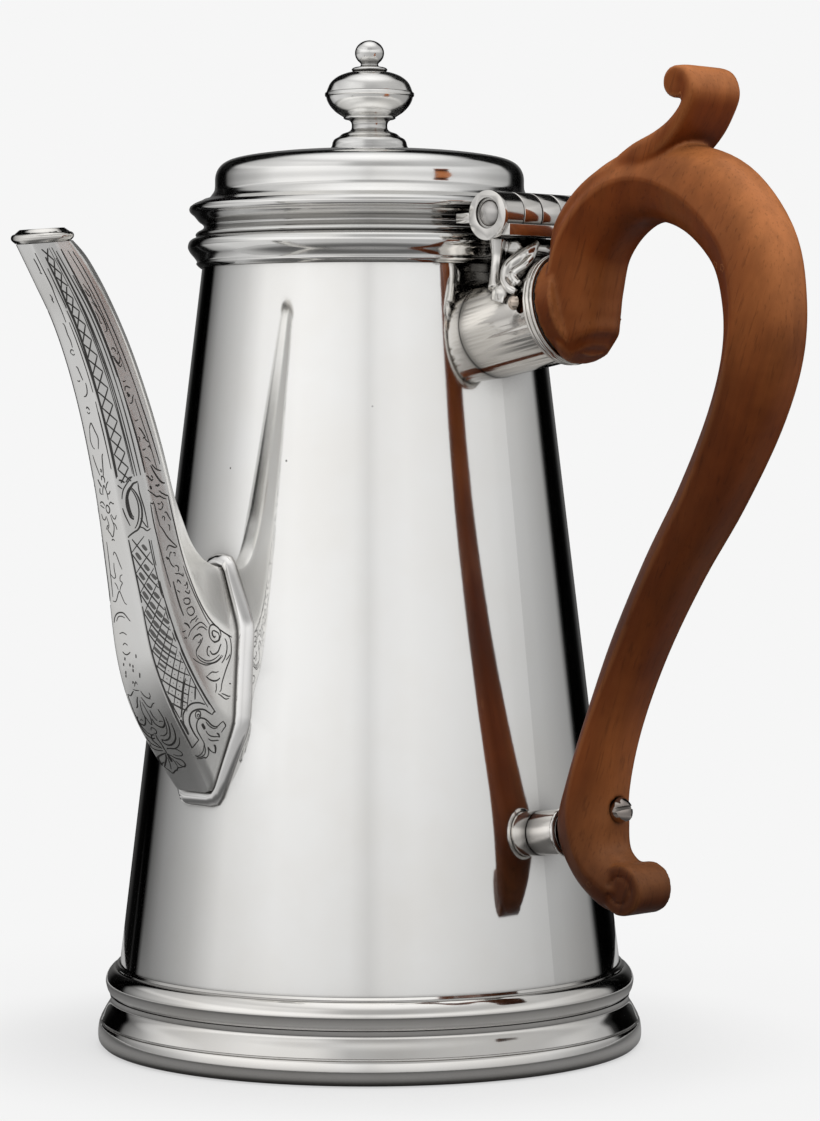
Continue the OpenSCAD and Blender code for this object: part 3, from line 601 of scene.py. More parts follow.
# %% Dome of the lid
DOME_Z = 202.15
DOME_R = 38.9
DOME_H = 11.7
dome_line = smooth_line([
    [1, 0], [0.984, 0.05], [0.97, 0.11], [0.957, 0.18], [0.952, 0.27], [0.951, 0.44], [0.944, 0.55],
    [0.928, 0.65], [0.9, 0.74], [0.852, 0.815], [0.76, 0.88], [0.6, 0.945], [0.42, 0.98], [0.25, 0.995],
    [0, 1]], 5)
STUD_HOLE = 1.35
outer = [(p * DOME_R, DOME_Z + h * DOME_H) for p, h in dome_line]
inner = [(max(p * DOME_R - 1, 0), DOME_Z + max(h * DOME_H - (1 if h > 0.3 else 0), 0)) for p, h in dome_line]
outer = [q for q in outer if q[0] > STUD_HOLE] + [(STUD_HOLE, DOME_Z + DOME_H)]
inner = [q for q in inner if q[0] > STUD_HOLE] + [(STUD_HOLE, DOME_Z + DOME_H - 1)]
dome = spun(outer + inner[::-1])
settle(dome, "dome", "lid", "lid_shell")

# %% Finial
CROWN_Z = 213.85
URN_R = 10.7
BELT_Z = 13.6
foot_of_finial = ([(1.35, 0), (9.4, 0), (9.35, 0.5), (9.25, 0.9), (9.05, 1.3), (8.95, 1.7), (8.85, 2.2)]
                  + smooth_line([[8.8, 2.3], [8.4, 2.9], [7.5, 3.4]], 4)
                  + smooth_line([[7.1, 3.7], [6.5, 4.2], [5.1, 4.7], [4.45, 5.2], [4.3, 5.6]], 4) + [(1.35, 5.6)])
lower_urn = ([(1.35, 5.6)] + smooth_line([[4.28, 5.6], [4.28, 6.5], [4.6, 7.2], [5.2, 7.6]], 4)
             + [(5.9, 7.7), (6.2, 7.85), (6.25, 8.0), (6.2, 8.2)]
             + smooth_line([[k * URN_R, BELT_Z - d] for k, d in (
                 (0.61, 5.2), (0.74, 4.3), (0.84, 3.3), (0.91, 2.3), (0.955, 1.3), (0.97, 0.6))], 4)
             + [(URN_R - 0.1, BELT_Z - 0.45), (URN_R, BELT_Z - 0.3), (URN_R, BELT_Z), (1.35, BELT_Z)])
upper_urn = ([(1.35, BELT_Z), (URN_R, BELT_Z), (URN_R, BELT_Z + 0.25), (URN_R - 0.12, BELT_Z + 0.42),
              (URN_R - 0.4, BELT_Z + 0.5)]
             + smooth_line([[k * URN_R, BELT_Z + d] for k, d in (
                 (0.965, 0.6), (0.93, 1.6), (0.88, 2.7), (0.8, 3.6), (0.68, 4.45), (0.52, 5.1), (0.41, 5.35))], 4)
             + [(4.3, 19), (1.35, 19)])
ball_line = ([(0, 19)] + smooth_line([[3.8, 19], [4.3, 19.5], [3.8, 20], [2.4, 20.3], [2.05, 20.8]], 4)
             + [(3.5 * math.cos(math.radians(a)), 23.5 + 3.05 * math.sin(math.radians(a)))
                for a in range(-50, 85, 6)] + [(0, 26.55)])
for name, line, node in (("finial_foot_turned", foot_of_finial, "finial_foot"),
                         ("finial_lower_bowl", lower_urn, "finial_urn_lower"),
                         ("finial_upper_bowl", upper_urn, "finial_urn_upper"),
                         ("finial_knob", ball_line, "finial_ball")):
    # the knob's outline starts and ends on the axis, so it is left open
    piece = spun([(r, CROWN_Z + z) for r, z in line], closed=line is not ball_line, steps=128)
    settle(piece, name, "lid", node)

# %% [markdown]
# ## The handle
# The handle is carved: it swells over the top, thins down the back and ends in a small
# roll, and its two sides come to a soft ridge. A flat leaf grows out of its top and
# curls over. Each part is a sheet wrapped into a tube of changing section. The parts are
# then joined, cut where the sockets hold them, and remeshed to one skin, as a carver
# leaves no seams between them.

# %% Wrapped tube helper
def wrapped(rings):
    """A closed tube through rings of points in millimetres, made from one grid."""
    count, across = len(rings), len(rings[0])
    nothing_selected()
    bpy.ops.mesh.primitive_grid_add(x_subdivisions=across, y_subdivisions=count - 1, size=1)
    obj = bpy.context.object
    places = np.array([list(ring) + [ring[0]] for ring in rings], float).reshape(-1, 3) * MM
    obj.data.vertices.foreach_set("co", places.ravel())
    edit_mode(obj)
    bpy.ops.mesh.remove_doubles(threshold=SAME_PLACE)
    bpy.ops.mesh.select_all(action="DESELECT")
    bpy.ops.mesh.select_non_manifold()
    bpy.ops.mesh.fill_holes(sides=0)
    outwards()
    return obj


def bent_power(value, power):
    """A power that keeps the sign, which makes a round section squarer or sharper."""
    return math.copysign(abs(value) ** power, value)


def swept(rows, steps, across, depth_power, width_power, ridge=0.0):
    """Rings along a curve in the XZ plane: rows are x, z, outer depth, inner depth, half width."""
    line = np.array(smooth_line(rows, steps))
    rings = []
    for i, (x, z, outer, inner, half) in enumerate(line):
        before, after = line[max(i - 1, 0)], line[min(i + 1, len(line) - 1)]
        along = np.array([after[0] - before[0], after[1] - before[1]])
        along /= np.linalg.norm(along)
        ring = []
        for j in range(across):
            a = 2 * math.pi * j / across
            c, s = math.cos(a), math.sin(a)
            deep = bent_power(c, depth_power + ridge * s ** 4) * (outer if c > 0 else inner)
            ring.append((x - along[1] * deep, bent_power(s, width_power) * half, z + along[0] * deep))
        rings.append(ring)
    return rings


# %% Bars, cuts and one skin
def bar(radius, length, start, direction, sides=64):
    """A round bar in millimetres from a start point along a direction, used as a tool or a core."""
    nothing_selected()
    way = Vector(direction).normalized()
    middle = (Vector(start) + way * length / 2) * MM
    bpy.ops.mesh.primitive_cylinder_add(vertices=sides, radius=radius * MM, depth=length * MM, location=middle,
                                        rotation=way.to_track_quat("Z", "Y").to_euler())
    return placed()


def cut(obj, tool):
    """Carve obj with a closed tool, which is used up."""
    modified(obj, "BOOLEAN", operation="DIFFERENCE", solver="EXACT", object=tool)
    bpy.data.objects.remove(tool)


def joined(pieces):
    """One object out of several."""
    nothing_selected()
    for piece in pieces:
        piece.select_set(True)
    bpy.context.view_layer.objects.active = pieces[0]
    bpy.ops.object.join()
    return bpy.context.object


def one_skin(obj, voxel, rounds):
    """Melt overlapping closed shapes into one skin and soften it."""
    nothing_selected()
    modified(obj, "REMESH", mode="VOXEL", voxel_size=voxel * MM)
    modified(obj, "SMOOTH", factor=0.5, iterations=rounds)
    for face in obj.data.polygons:
        face.use_smooth = True


# %% Carve the handle
SOCKET_END = (64.5, 0, 175)
SOCKET_WAY = (math.cos(math.radians(11)), 0, math.sin(math.radians(11)))
BOSS_END = (64.98, 0, 55.4)
BOSS_WAY = (math.cos(math.atan(SLOPE)), 0, math.sin(math.atan(SLOPE)))
SCREW_HEAD = (80.3, 0, 61.4)
SCREW_WAY = (-math.cos(math.radians(21)), 0, -math.sin(math.radians(21)))


def beyond(start, way, distance):
    """The point at a distance from a start, along a way."""
    return tuple(Vector(start) + Vector(way) * distance)


grip_rows = [
    [70.5, 164.2, 3.5, 4, 6], [69, 166.5, 4.5, 7.5, 9], [67, 172, 4, 9.3, 10.3],
    [66.6, 180, 3, 10.5, 10.6], [69.5, 190, 4.5, 10.5, 10.5], [76.5, 198, 6, 10.3, 10.4],
    [86, 202.5, 7, 9.8, 10.3], [96.5, 202, 9, 9, 10.2], [107.5, 196.5, 11.2, 8, 10.2],
    [116.5, 187, 10.8, 7.3, 10.2], [119.5, 176, 10.3, 6.2, 10.2], [118.7, 164, 10.3, 4.8, 10.2],
    [114.3, 150, 9.2, 4.6, 10], [106, 133, 7.4, 5.2, 9.5], [95.8, 116.8, 6.2, 5.2, 9],
    [86, 98.5, 5, 5.4, 8.6], [77.5, 81.5, 6, 4, 8.5], [72, 67, 8, 4.2, 8.5],
    [71.5, 57.5, 8.4, 7.2, 8.5], [74.5, 49.5, 6.4, 6.4, 8.2], [80, 44.5, 6.4, 6, 7.2],
    [83, 43.8, 5.4, 5.2, 6.2]]
grip = wrapped(swept(grip_rows, 6, 72, 1.25, 0.72, 0.9))
neck_rows = [
    [66.5, 181, 2, 2.6, 8.5], [68, 191.5, 3.2, 3, 9.3], [73.8, 199, 3.4, 3.2, 9.4], [82, 204, 3.6, 3.4, 9.2],
    [90.5, 206.8, 3.4, 3, 8.6], [96, 209, 2.5, 2, 7.5]]
neck = wrapped(swept(neck_rows, 5, 48, 1.0, 0.85))
leaf_rows = [
    [79, 201, 1, 1.2, 4], [84, 204.6, 2.6, 2, 8], [90.5, 206.8, 4.1, 3, 9.1], [97.3, 210, 3.6, 2.3, 9],
    [102, 213.7, 2.6, 1.8, 8.9], [105.2, 218, 1.8, 1.5, 8.8], [106.2, 221.5, 1.9, 1.9, 8.8],
    [104.8, 224.6, 2.2, 2.2, 8.7], [102.4, 225, 2.4, 2.4, 8.6]]
leaf = wrapped(swept(leaf_rows, 5, 48, 0.6, 0.3))
curl = bar(3.6, 17.2, (102.7, -8.6, 223.5), (0, 1, 0))
ROLL_X, ROLL_Z = 84.9, 44
roll = bar(5.8, 11.6, (ROLL_X, -5.8, ROLL_Z), (0, 1, 0))
grip = joined([grip, neck, leaf, curl, roll])
one_skin(grip, 0.55, 1)
for side in (-1, 1):
    nothing_selected()
    bpy.ops.mesh.primitive_torus_add(
        major_radius=3.1 * MM, minor_radius=0.5 * MM, major_segments=64, minor_segments=16,
        location=(ROLL_X * MM, 5.9 * side * MM, ROLL_Z * MM), rotation=(math.pi / 2, 0, 0))
    cut(grip, bpy.context.object)
cut(grip, bar(40, 29.9, beyond(SOCKET_END, SOCKET_WAY, -29.9 + 0.1), SOCKET_WAY))
cut(grip, bar(6.4, 12.1, beyond(BOSS_END, BOSS_WAY, -12), BOSS_WAY))
cut(grip, bar(3, 9.1, beyond(SCREW_HEAD, SCREW_WAY, -8), SCREW_WAY))
tenon = bar(10.4, 19, beyond(SOCKET_END, SOCKET_WAY, -17), SOCKET_WAY)
shoulder = bar(12.1, 4.9, beyond(SOCKET_END, SOCKET_WAY, 0.1), SOCKET_WAY)
grip = joined([grip, tenon, shoulder])
one_skin(grip, 0.5, 1)
settle(grip, "carved_handle", "pot", "handle")

# %% [markdown]
# ## The spout
# The spout is raised from sheet in two halves and has eight flat sides that flow up in one
# curve. Its ridges are crisp but not sharp. The same corner points as in the CAD model are
# used, with many more steps, and each corner becomes three points, a small bevel that
# catches the light. A wall is added inside, and the root is trimmed to the body.

# %% Shape of the spout
def spout_section(y, z, tilt, wide, deep):
    c, s = math.cos(math.radians(tilt)), math.sin(math.radians(tilt))
    return [(p * wide, y + q * deep * c, z + q * deep * s) for p, q in ((0.46, -1), (1, -0.44), (1, 0.4), (0.42, 1))]


spout_sections = [
    [(5.8, -57.8, 64.2), (9.8, -55, 80.5), (8.6, -53, 101.2), (2.6, -51.4, 116)],
    [(7.1, -64.5, 74), (9.8, -59.6, 84.5), (8.7, -56.8, 103), (2.8, -54.4, 116.8)],
    [(7.0, -70.8, 84), (9.6, -65.2, 92), (8.7, -60.6, 106), (3.0, -57.6, 118.6)],
    [(6.0, -75.6, 96), (9.3, -70.4, 101.5), (8.6, -64.4, 111.8), (3.3, -60.8, 122)],
    [(4.9, -79, 112.5), (8.8, -75, 115), (8.4, -68.2, 120.5), (3.5, -63.6, 127)],
    spout_section(-74.6, 131.2, 15, 8.4, 8.4), spout_section(-77.4, 141.5, 18, 8.0, 8.0),
    spout_section(-81.0, 152.5, 22, 7.6, 7.5), spout_section(-85.6, 164, 27, 7.1, 7.0),
    spout_section(-91.0, 174.5, 32, 6.6, 6.5), spout_section(-96.4, 182.5, 30, 6.2, 6.2),
    spout_section(-101.2, 188.6, 6, 5.9, 6.1)]
STEPS = 20
corner_lines = np.array(smooth_line(np.array(spout_sections).reshape(12, 12), STEPS)).reshape(-1, 4, 3)
FLIP = np.array([-1, 1, 1])


def eight(corners):
    """All eight corners from the four on one side, in order round the spout."""
    return np.concatenate([corners, (corners * FLIP)[::-1]])


def bevelled(corners, share):
    """Each corner of a closed section replaced by three points of a small round."""
    ring = []
    size = share * np.linalg.norm(corners[1] - corners[0])
    for i, here in enumerate(corners):
        back, ahead = corners[i - 1] - here, corners[(i + 1) % len(corners)] - here
        back, ahead = back / np.linalg.norm(back), ahead / np.linalg.norm(ahead)
        start, end = here + back * size, here + ahead * size
        ring += [start, (start + end) / 4 + here / 2, end]
    return ring


def filled(ring, parts):
    """More points along the flat sides of a bevelled section."""
    points = []
    for i in range(0, len(ring), 3):
        points += ring[i:i + 3]
        ahead = ring[(i + 3) % len(ring)]
        points += [ring[i + 2] + (ahead - ring[i + 2]) * k / parts for k in range(1, parts)]
    return points


# the first section is repeated inside the body, so that the root can be trimmed
flat_end = np.array([[p[0], -40, p[2]] for p in spout_sections[0]])
stations = [eight(flat_end)] + [eight(c) for c in corner_lines[::2]]
spout = wrapped([filled(bevelled(c, 0.1), 5) for c in stations])
edit_mode(spout, "DESELECT")
object_mode()
for face in spout.data.polygons:
    face.select = len(face.vertices) > 4
bpy.ops.object.mode_set(mode="EDIT")
bpy.ops.mesh.delete(type="ONLY_FACE")
object_mode()
modified(spout, "SOLIDIFY", thickness=1.0 * MM, offset=-1)
nothing_selected()
bpy.ops.mesh.primitive_cone_add(vertices=240, radius1=(BODY_FOOT_R + 0.1) * MM, radius2=(BODY_TOP_R + 0.1) * MM,
                                depth=BODY_TOP_Z * MM, location=(0, 0, BODY_TOP_Z * MM / 2))
cut(spout, bpy.context.object)
active(spout)
smooth_by(26)
settle(spout, "spout", "pot", "spout_body")

# %% [markdown]
# ## The engraving
# The sides of the spout are engraved by hand: a chain of diamonds, interlaced bands, a
# trellis with shaded cells, and leaf scrolls, which are common ornament of the time. A
# graver cuts strokes that swell and thin. Here each stroke is a narrow dark strip that
# lies in the silver's surface, given by its width and a few points on a side: how far
# across it lies, from -100 to 100, and how far up, in hundredths of a section. Hundreds of
# tiny strips would be slow to model one by one with operators, and a bump would not be a
# shape in the exported mesh, so all strips are written straight into one mesh.

# %% Strokes on the three kinds of side
FRONT_STROKES = [
    (40, -20, 721, -13, 724, 0, 722, 5, 718), (26, -23, 715, -10, 711, 5, 714),
    (34, -38, 680, -26, 687, -11, 692, -2, 687, 10, 675, 24, 663, 19, 652, 5, 638),
    (26, -38, 680, -46, 668, -53, 655, -43, 642, -28, 638), (34, 38, 628, 27, 623, 19, 610, 10, 592, 2, 578),
    (26, -59, 625, -50, 608, -38, 592, -27, 580), (26, -15, 592, -10, 595, -5, 592, -10, 588, -15, 591),
    (34, -20, 568, -18, 576, -10, 578, 2, 576, 8, 570, 4, 562), (40, -54, 570, -41, 558, -31, 551),
    (30, -31, 532, -27, 542, -18, 550, -10, 555, -3, 551, 7, 538, 10, 522), (30, 8, 548, 19, 558, 38, 565),
    (30, 5, 535, 26, 535, 41, 542), (30, -49, 548, -54, 537, -38, 533),
    (34, -25, 504, -19, 509, -8, 511, 5, 507, 6, 501, -7, 497, -20, 499, -25, 504),
    (32, -70, 514, -58, 517, -43, 516, -31, 510), (26, -69, 511, -55, 508, -38, 505),
    (26, -72, 495, -66, 488, -49, 486, -33, 492), (32, 10, 512, 26, 517, 44, 514, 54, 515),
    (26, 13, 495, 26, 489, 41, 488, 56, 494),
    (28, -31, 490, -23, 478, -38, 472, -24, 467, -9, 462, 5, 467, 19, 477, 10, 487, 5, 494),
    (26, -49, 472, -38, 477, -28, 478), (26, 20, 482, 34, 478, 38, 472), (28, -20, 457, -10, 459, 2, 457),
    (28, -28, 438, -18, 442, -5, 439, 8, 428, 19, 420), (26, -33, 428, -38, 420, -36, 410, -51, 408, -69, 413),
    (26, 15, 413, -2, 411, -8, 405, 5, 402, -10, 397, -23, 390),
    (28, -77, 377, -61, 376, -49, 380, -36, 387, -23, 390, -10, 381, 0, 375, 12, 373),
    (24, -64, 455, -68, 428, -72, 402, -75, 382), (24, -49, 402, -38, 398, -31, 392),
    (34, -85, 348, -77, 355, -61, 360, -38, 362, -15, 361, 5, 355, 19, 351),
    (26, -69, 350, -54, 356, -33, 357, -13, 355), (26, -60, 333, -38, 335, -17, 332),
    (26, -49, 317, -36, 320, -22, 317), (30, -58, 307, -46, 303, -31, 303, -13, 307), (40, -68, 283, -64, 288),
    (40, -66, 268, -62, 274), (40, -70, 262, -66, 267), (40, -23, 273, -19, 279), (40, -18, 281, -14, 286),
    (40, 8, 267, 12, 272), (40, 13, 298, 17, 304), (40, 5, 263, 9, 269), (40, -33, 283, -29, 288),
    (40, -54, 293, -50, 298), (26, -43, 250, -38, 255, -33, 249, -38, 245), (26, -29, 250, -23, 255, -19, 249),
    (24, -50, 239, -38, 237, -20, 237), (34, -13, 236, -5, 228, 8, 223, 24, 221),
    (28, 27, 234, 28, 227, 19, 223), (34, -87, 227, -72, 225, -61, 230, -51, 235),
    (44, -40, 223, -50, 213, -56, 203, -65, 199), (34, -22, 223, -14, 215, -5, 205, 10, 203, 23, 210, 35, 213),
    (32, -33, 216, -40, 203, -43, 190, -38, 177, -27, 162, -18, 171, -15, 183, -21, 200, -27, 213),
    (44, -77, 179, -84, 172, -79, 163, -65, 159, -52, 165, -44, 175, -42, 182),
    (26, -72, 170, -64, 173, -59, 169), (48, -10, 177, -7, 166, 8, 159, 28, 159, 44, 170, 48, 183, 41, 200),
    (28, 19, 171, 28, 173, 38, 172), (34, -2, 197, 1, 183, 12, 173),
    (34, -42, 148, -38, 153, -30, 155, -21, 152, -19, 146, -27, 140, -38, 141),
    (44, -92, 173, -88, 153, -77, 137, -60, 127, -43, 129), (30, -85, 183, -83, 163, -70, 143, -51, 136),
    (44, 61, 183, 57, 163, 43, 143, 24, 130, 0, 125, -15, 127),
    (30, 49, 183, 44, 163, 31, 146, 8, 137, -10, 137),
    (50, 75, 170, 72, 152, 59, 133, 38, 121, 15, 114, -5, 115, -15, 122, -7, 127),
    (34, 78, 136, 65, 121, 43, 110, 18, 105, -10, 106), (44, -31, 137, -33, 127, -28, 117, -26, 103, -24, 93),
    (44, -38, 137, -54, 135, -61, 123, -49, 113, -36, 103), (36, -95, 130, -79, 115, -56, 107, -36, 105),
    (36, -110, 113, -89, 103, -64, 98, -38, 98),
    (50, -28, 93, -51, 89, -77, 83, -100, 75, -109, 65, -87, 66, -66, 72),
    (36, -38, 92, -64, 87, -89, 81, -105, 77), (90, -23, 92, -22, 83, -23, 74),
    (34, -15, 103, 8, 106, 33, 105, 51, 98, 48, 91, 28, 89, 5, 91),
    (44, -15, 90, 8, 83, 31, 81, 41, 73, 31, 66, 13, 68, 0, 77), (50, -33, 90, -43, 80, -61, 70, -79, 61),
    (40, -79, 61, -66, 55, -56, 49, -43, 51, -31, 55, -19, 57, -8, 62, 5, 63, 19, 65),
    (30, -13, 83, -7, 73, -5, 63), (30, -33, 83, -38, 70, -49, 58), (26, -101, 227, -104, 197, -108, 170),
    (40, 38, 1057, 44, 1043, 41, 1028), (34, 29, 1025, 38, 1026, 48, 1023),
    (40, 19, 973, 26, 963, 14, 958, 19, 950), (34, 10, 898, 22, 893, 17, 873, 24, 860, 19, 845),
    (30, -23, 833, -10, 839, 8, 840, 19, 837), (26, -18, 833, 0, 829, 19, 831),
    (34, -10, 805, 2, 803, 9, 792, 19, 777), (28, -38, 777, -24, 775, -10, 777),
    (34, 39, 772, 37, 762, 26, 752, 5, 746, -15, 745),
    (34, 105, 1070, 100, 1027, 87, 993, 69, 960, 59, 927, 51, 900), (26, 115, 900, 107, 867, 99, 817, 89, 753),
    (26, 87, 735, 82, 695, 85, 642, 88, 595), (24, 100, 715, 97, 668, 100, 595),
]
SLANT_STROKES = [
    (34, -103, 370, -102, 330, -99, 283, -95, 230, -92, 170, -91, 123, -89, 103),
    (34, -89, 103, -69, 101, -41, 97),
    (44, -41, 97, -45, 110, -46, 127, -43, 140, -33, 149, -15, 153, 5, 150, 28, 141, 49, 127, 59, 112, 67, 97),
    (34, 67, 95, 82, 93, 100, 88), (34, 100, 88, 101, 123, 99, 170, 96, 230, 90, 287, 82, 343, 78, 370),
    (44, -69, 152, -60, 163, -46, 169, -23, 170, 5, 167, 28, 159, 49, 147, 65, 132),
    (60, -74, 167, -71, 147, -72, 129), (30, -83, 223, -78, 197, -74, 170),
    (44, -66, 169, -46, 177, -20, 190, 5, 203, 41, 216), (40, 36, 164, 52, 173, 72, 185),
    (36, -26, 83, -27, 100, -27, 113, -18, 123, 0, 127, 16, 123, 30, 111, 37, 97, 41, 82, 49, 68, 60, 58,
       76, 51, 86, 43), (30, 86, 43, 85, 33, 82, 23, 70, 29, 56, 34),
    (30, -2, 133, 0, 140, 11, 143, 23, 139, 28, 133, 20, 126, 8, 126, -1, 132),
    (26, 5, 133, 9, 136, 16, 134, 17, 130, 11, 129, 6, 132), (70, 8, 111, 8, 103, 7, 95),
    (28, 7, 90, 8, 80, 13, 70, 23, 58, 35, 45, 40, 37), (40, 40, 35, 44, 42, 41, 52),
    (28, 0, 72, 5, 62, 15, 52, 27, 40, 31, 34),
    (30, -89, 85, -77, 76, -61, 68, -45, 64, -35, 68, -28, 77, -25, 83),
    (30, -87, 78, -72, 70, -54, 61, -51, 57, -38, 53, -26, 55, -20, 63, -18, 53, -13, 42, -4, 29),
    (50, -7, 31, 1, 33, 8, 40, 5, 47), (28, -82, 81, -66, 75, -46, 72, -30, 77),
    (26, 28, 103, 31, 87, 42, 68, 56, 57),
    (50, 56, 555, 38, 553, 23, 552, 5, 546, -20, 538, -40, 525, -50, 510, -48, 497, -40, 488),
    (60, 0, 543, -26, 532, -42, 518, -45, 502, -39, 489, -20, 484),
    (42, 5, 543, 25, 532, 40, 518, 47, 502, 40, 487, 23, 477, -3, 469, -41, 466, -74, 463, -95, 461),
    (30, 0, 540, 16, 528, 27, 513, 26, 498, 14, 485, -5, 476, -26, 471),
    (30, -32, 522, -35, 505, -29, 492, -18, 487), (30, 56, 552, 52, 535, 56, 517, 64, 497, 67, 468),
    (44, -72, 567, -54, 564, -35, 558), (28, -97, 555, -77, 551, -59, 544), (28, -82, 505, -74, 492, -55, 476),
    (28, -74, 522, -66, 532, -51, 543, -26, 553, 5, 563, 26, 569), (34, -26, 558, 0, 567, 26, 568),
    (30, 5, 472, 33, 469, 56, 464, 82, 466), (26, 26, 484, 51, 472, 64, 468),
    # the next two wide strokes, along the left edge of the diamond chain, are painted shadow on the dark side of the
    # ridge
    (50, -35, 1057, -37, 1033, -43, 990, -54, 957, -60, 927, -63, 893, -68, 853, -73, 813, -77, 773, -79, 733),
    (50, -79, 735, -81, 695, -79, 652, -79, 608, -79, 575), (26, -66, 1033, -71, 990, -77, 940, -82, 933),
    (26, -89, 927, -93, 867, -100, 800, -106, 733), (26, -106, 735, -107, 668, -103, 602, -101, 572),
    (30, 51, 1050, 54, 993, 49, 940, 43, 887, 41, 833, 42, 780, 41, 733),
    (30, 41, 735, 38, 682, 40, 628, 41, 568), (24, 54, 668, 56, 618, 59, 568),
    (26, 107, 1067, 104, 983, 97, 900, 91, 817, 86, 733), (26, 86, 735, 91, 675, 97, 608, 105, 568),
    (34, -92, 458, -99, 418, -103, 375), (26, 56, 452, 64, 415, 72, 365),
]
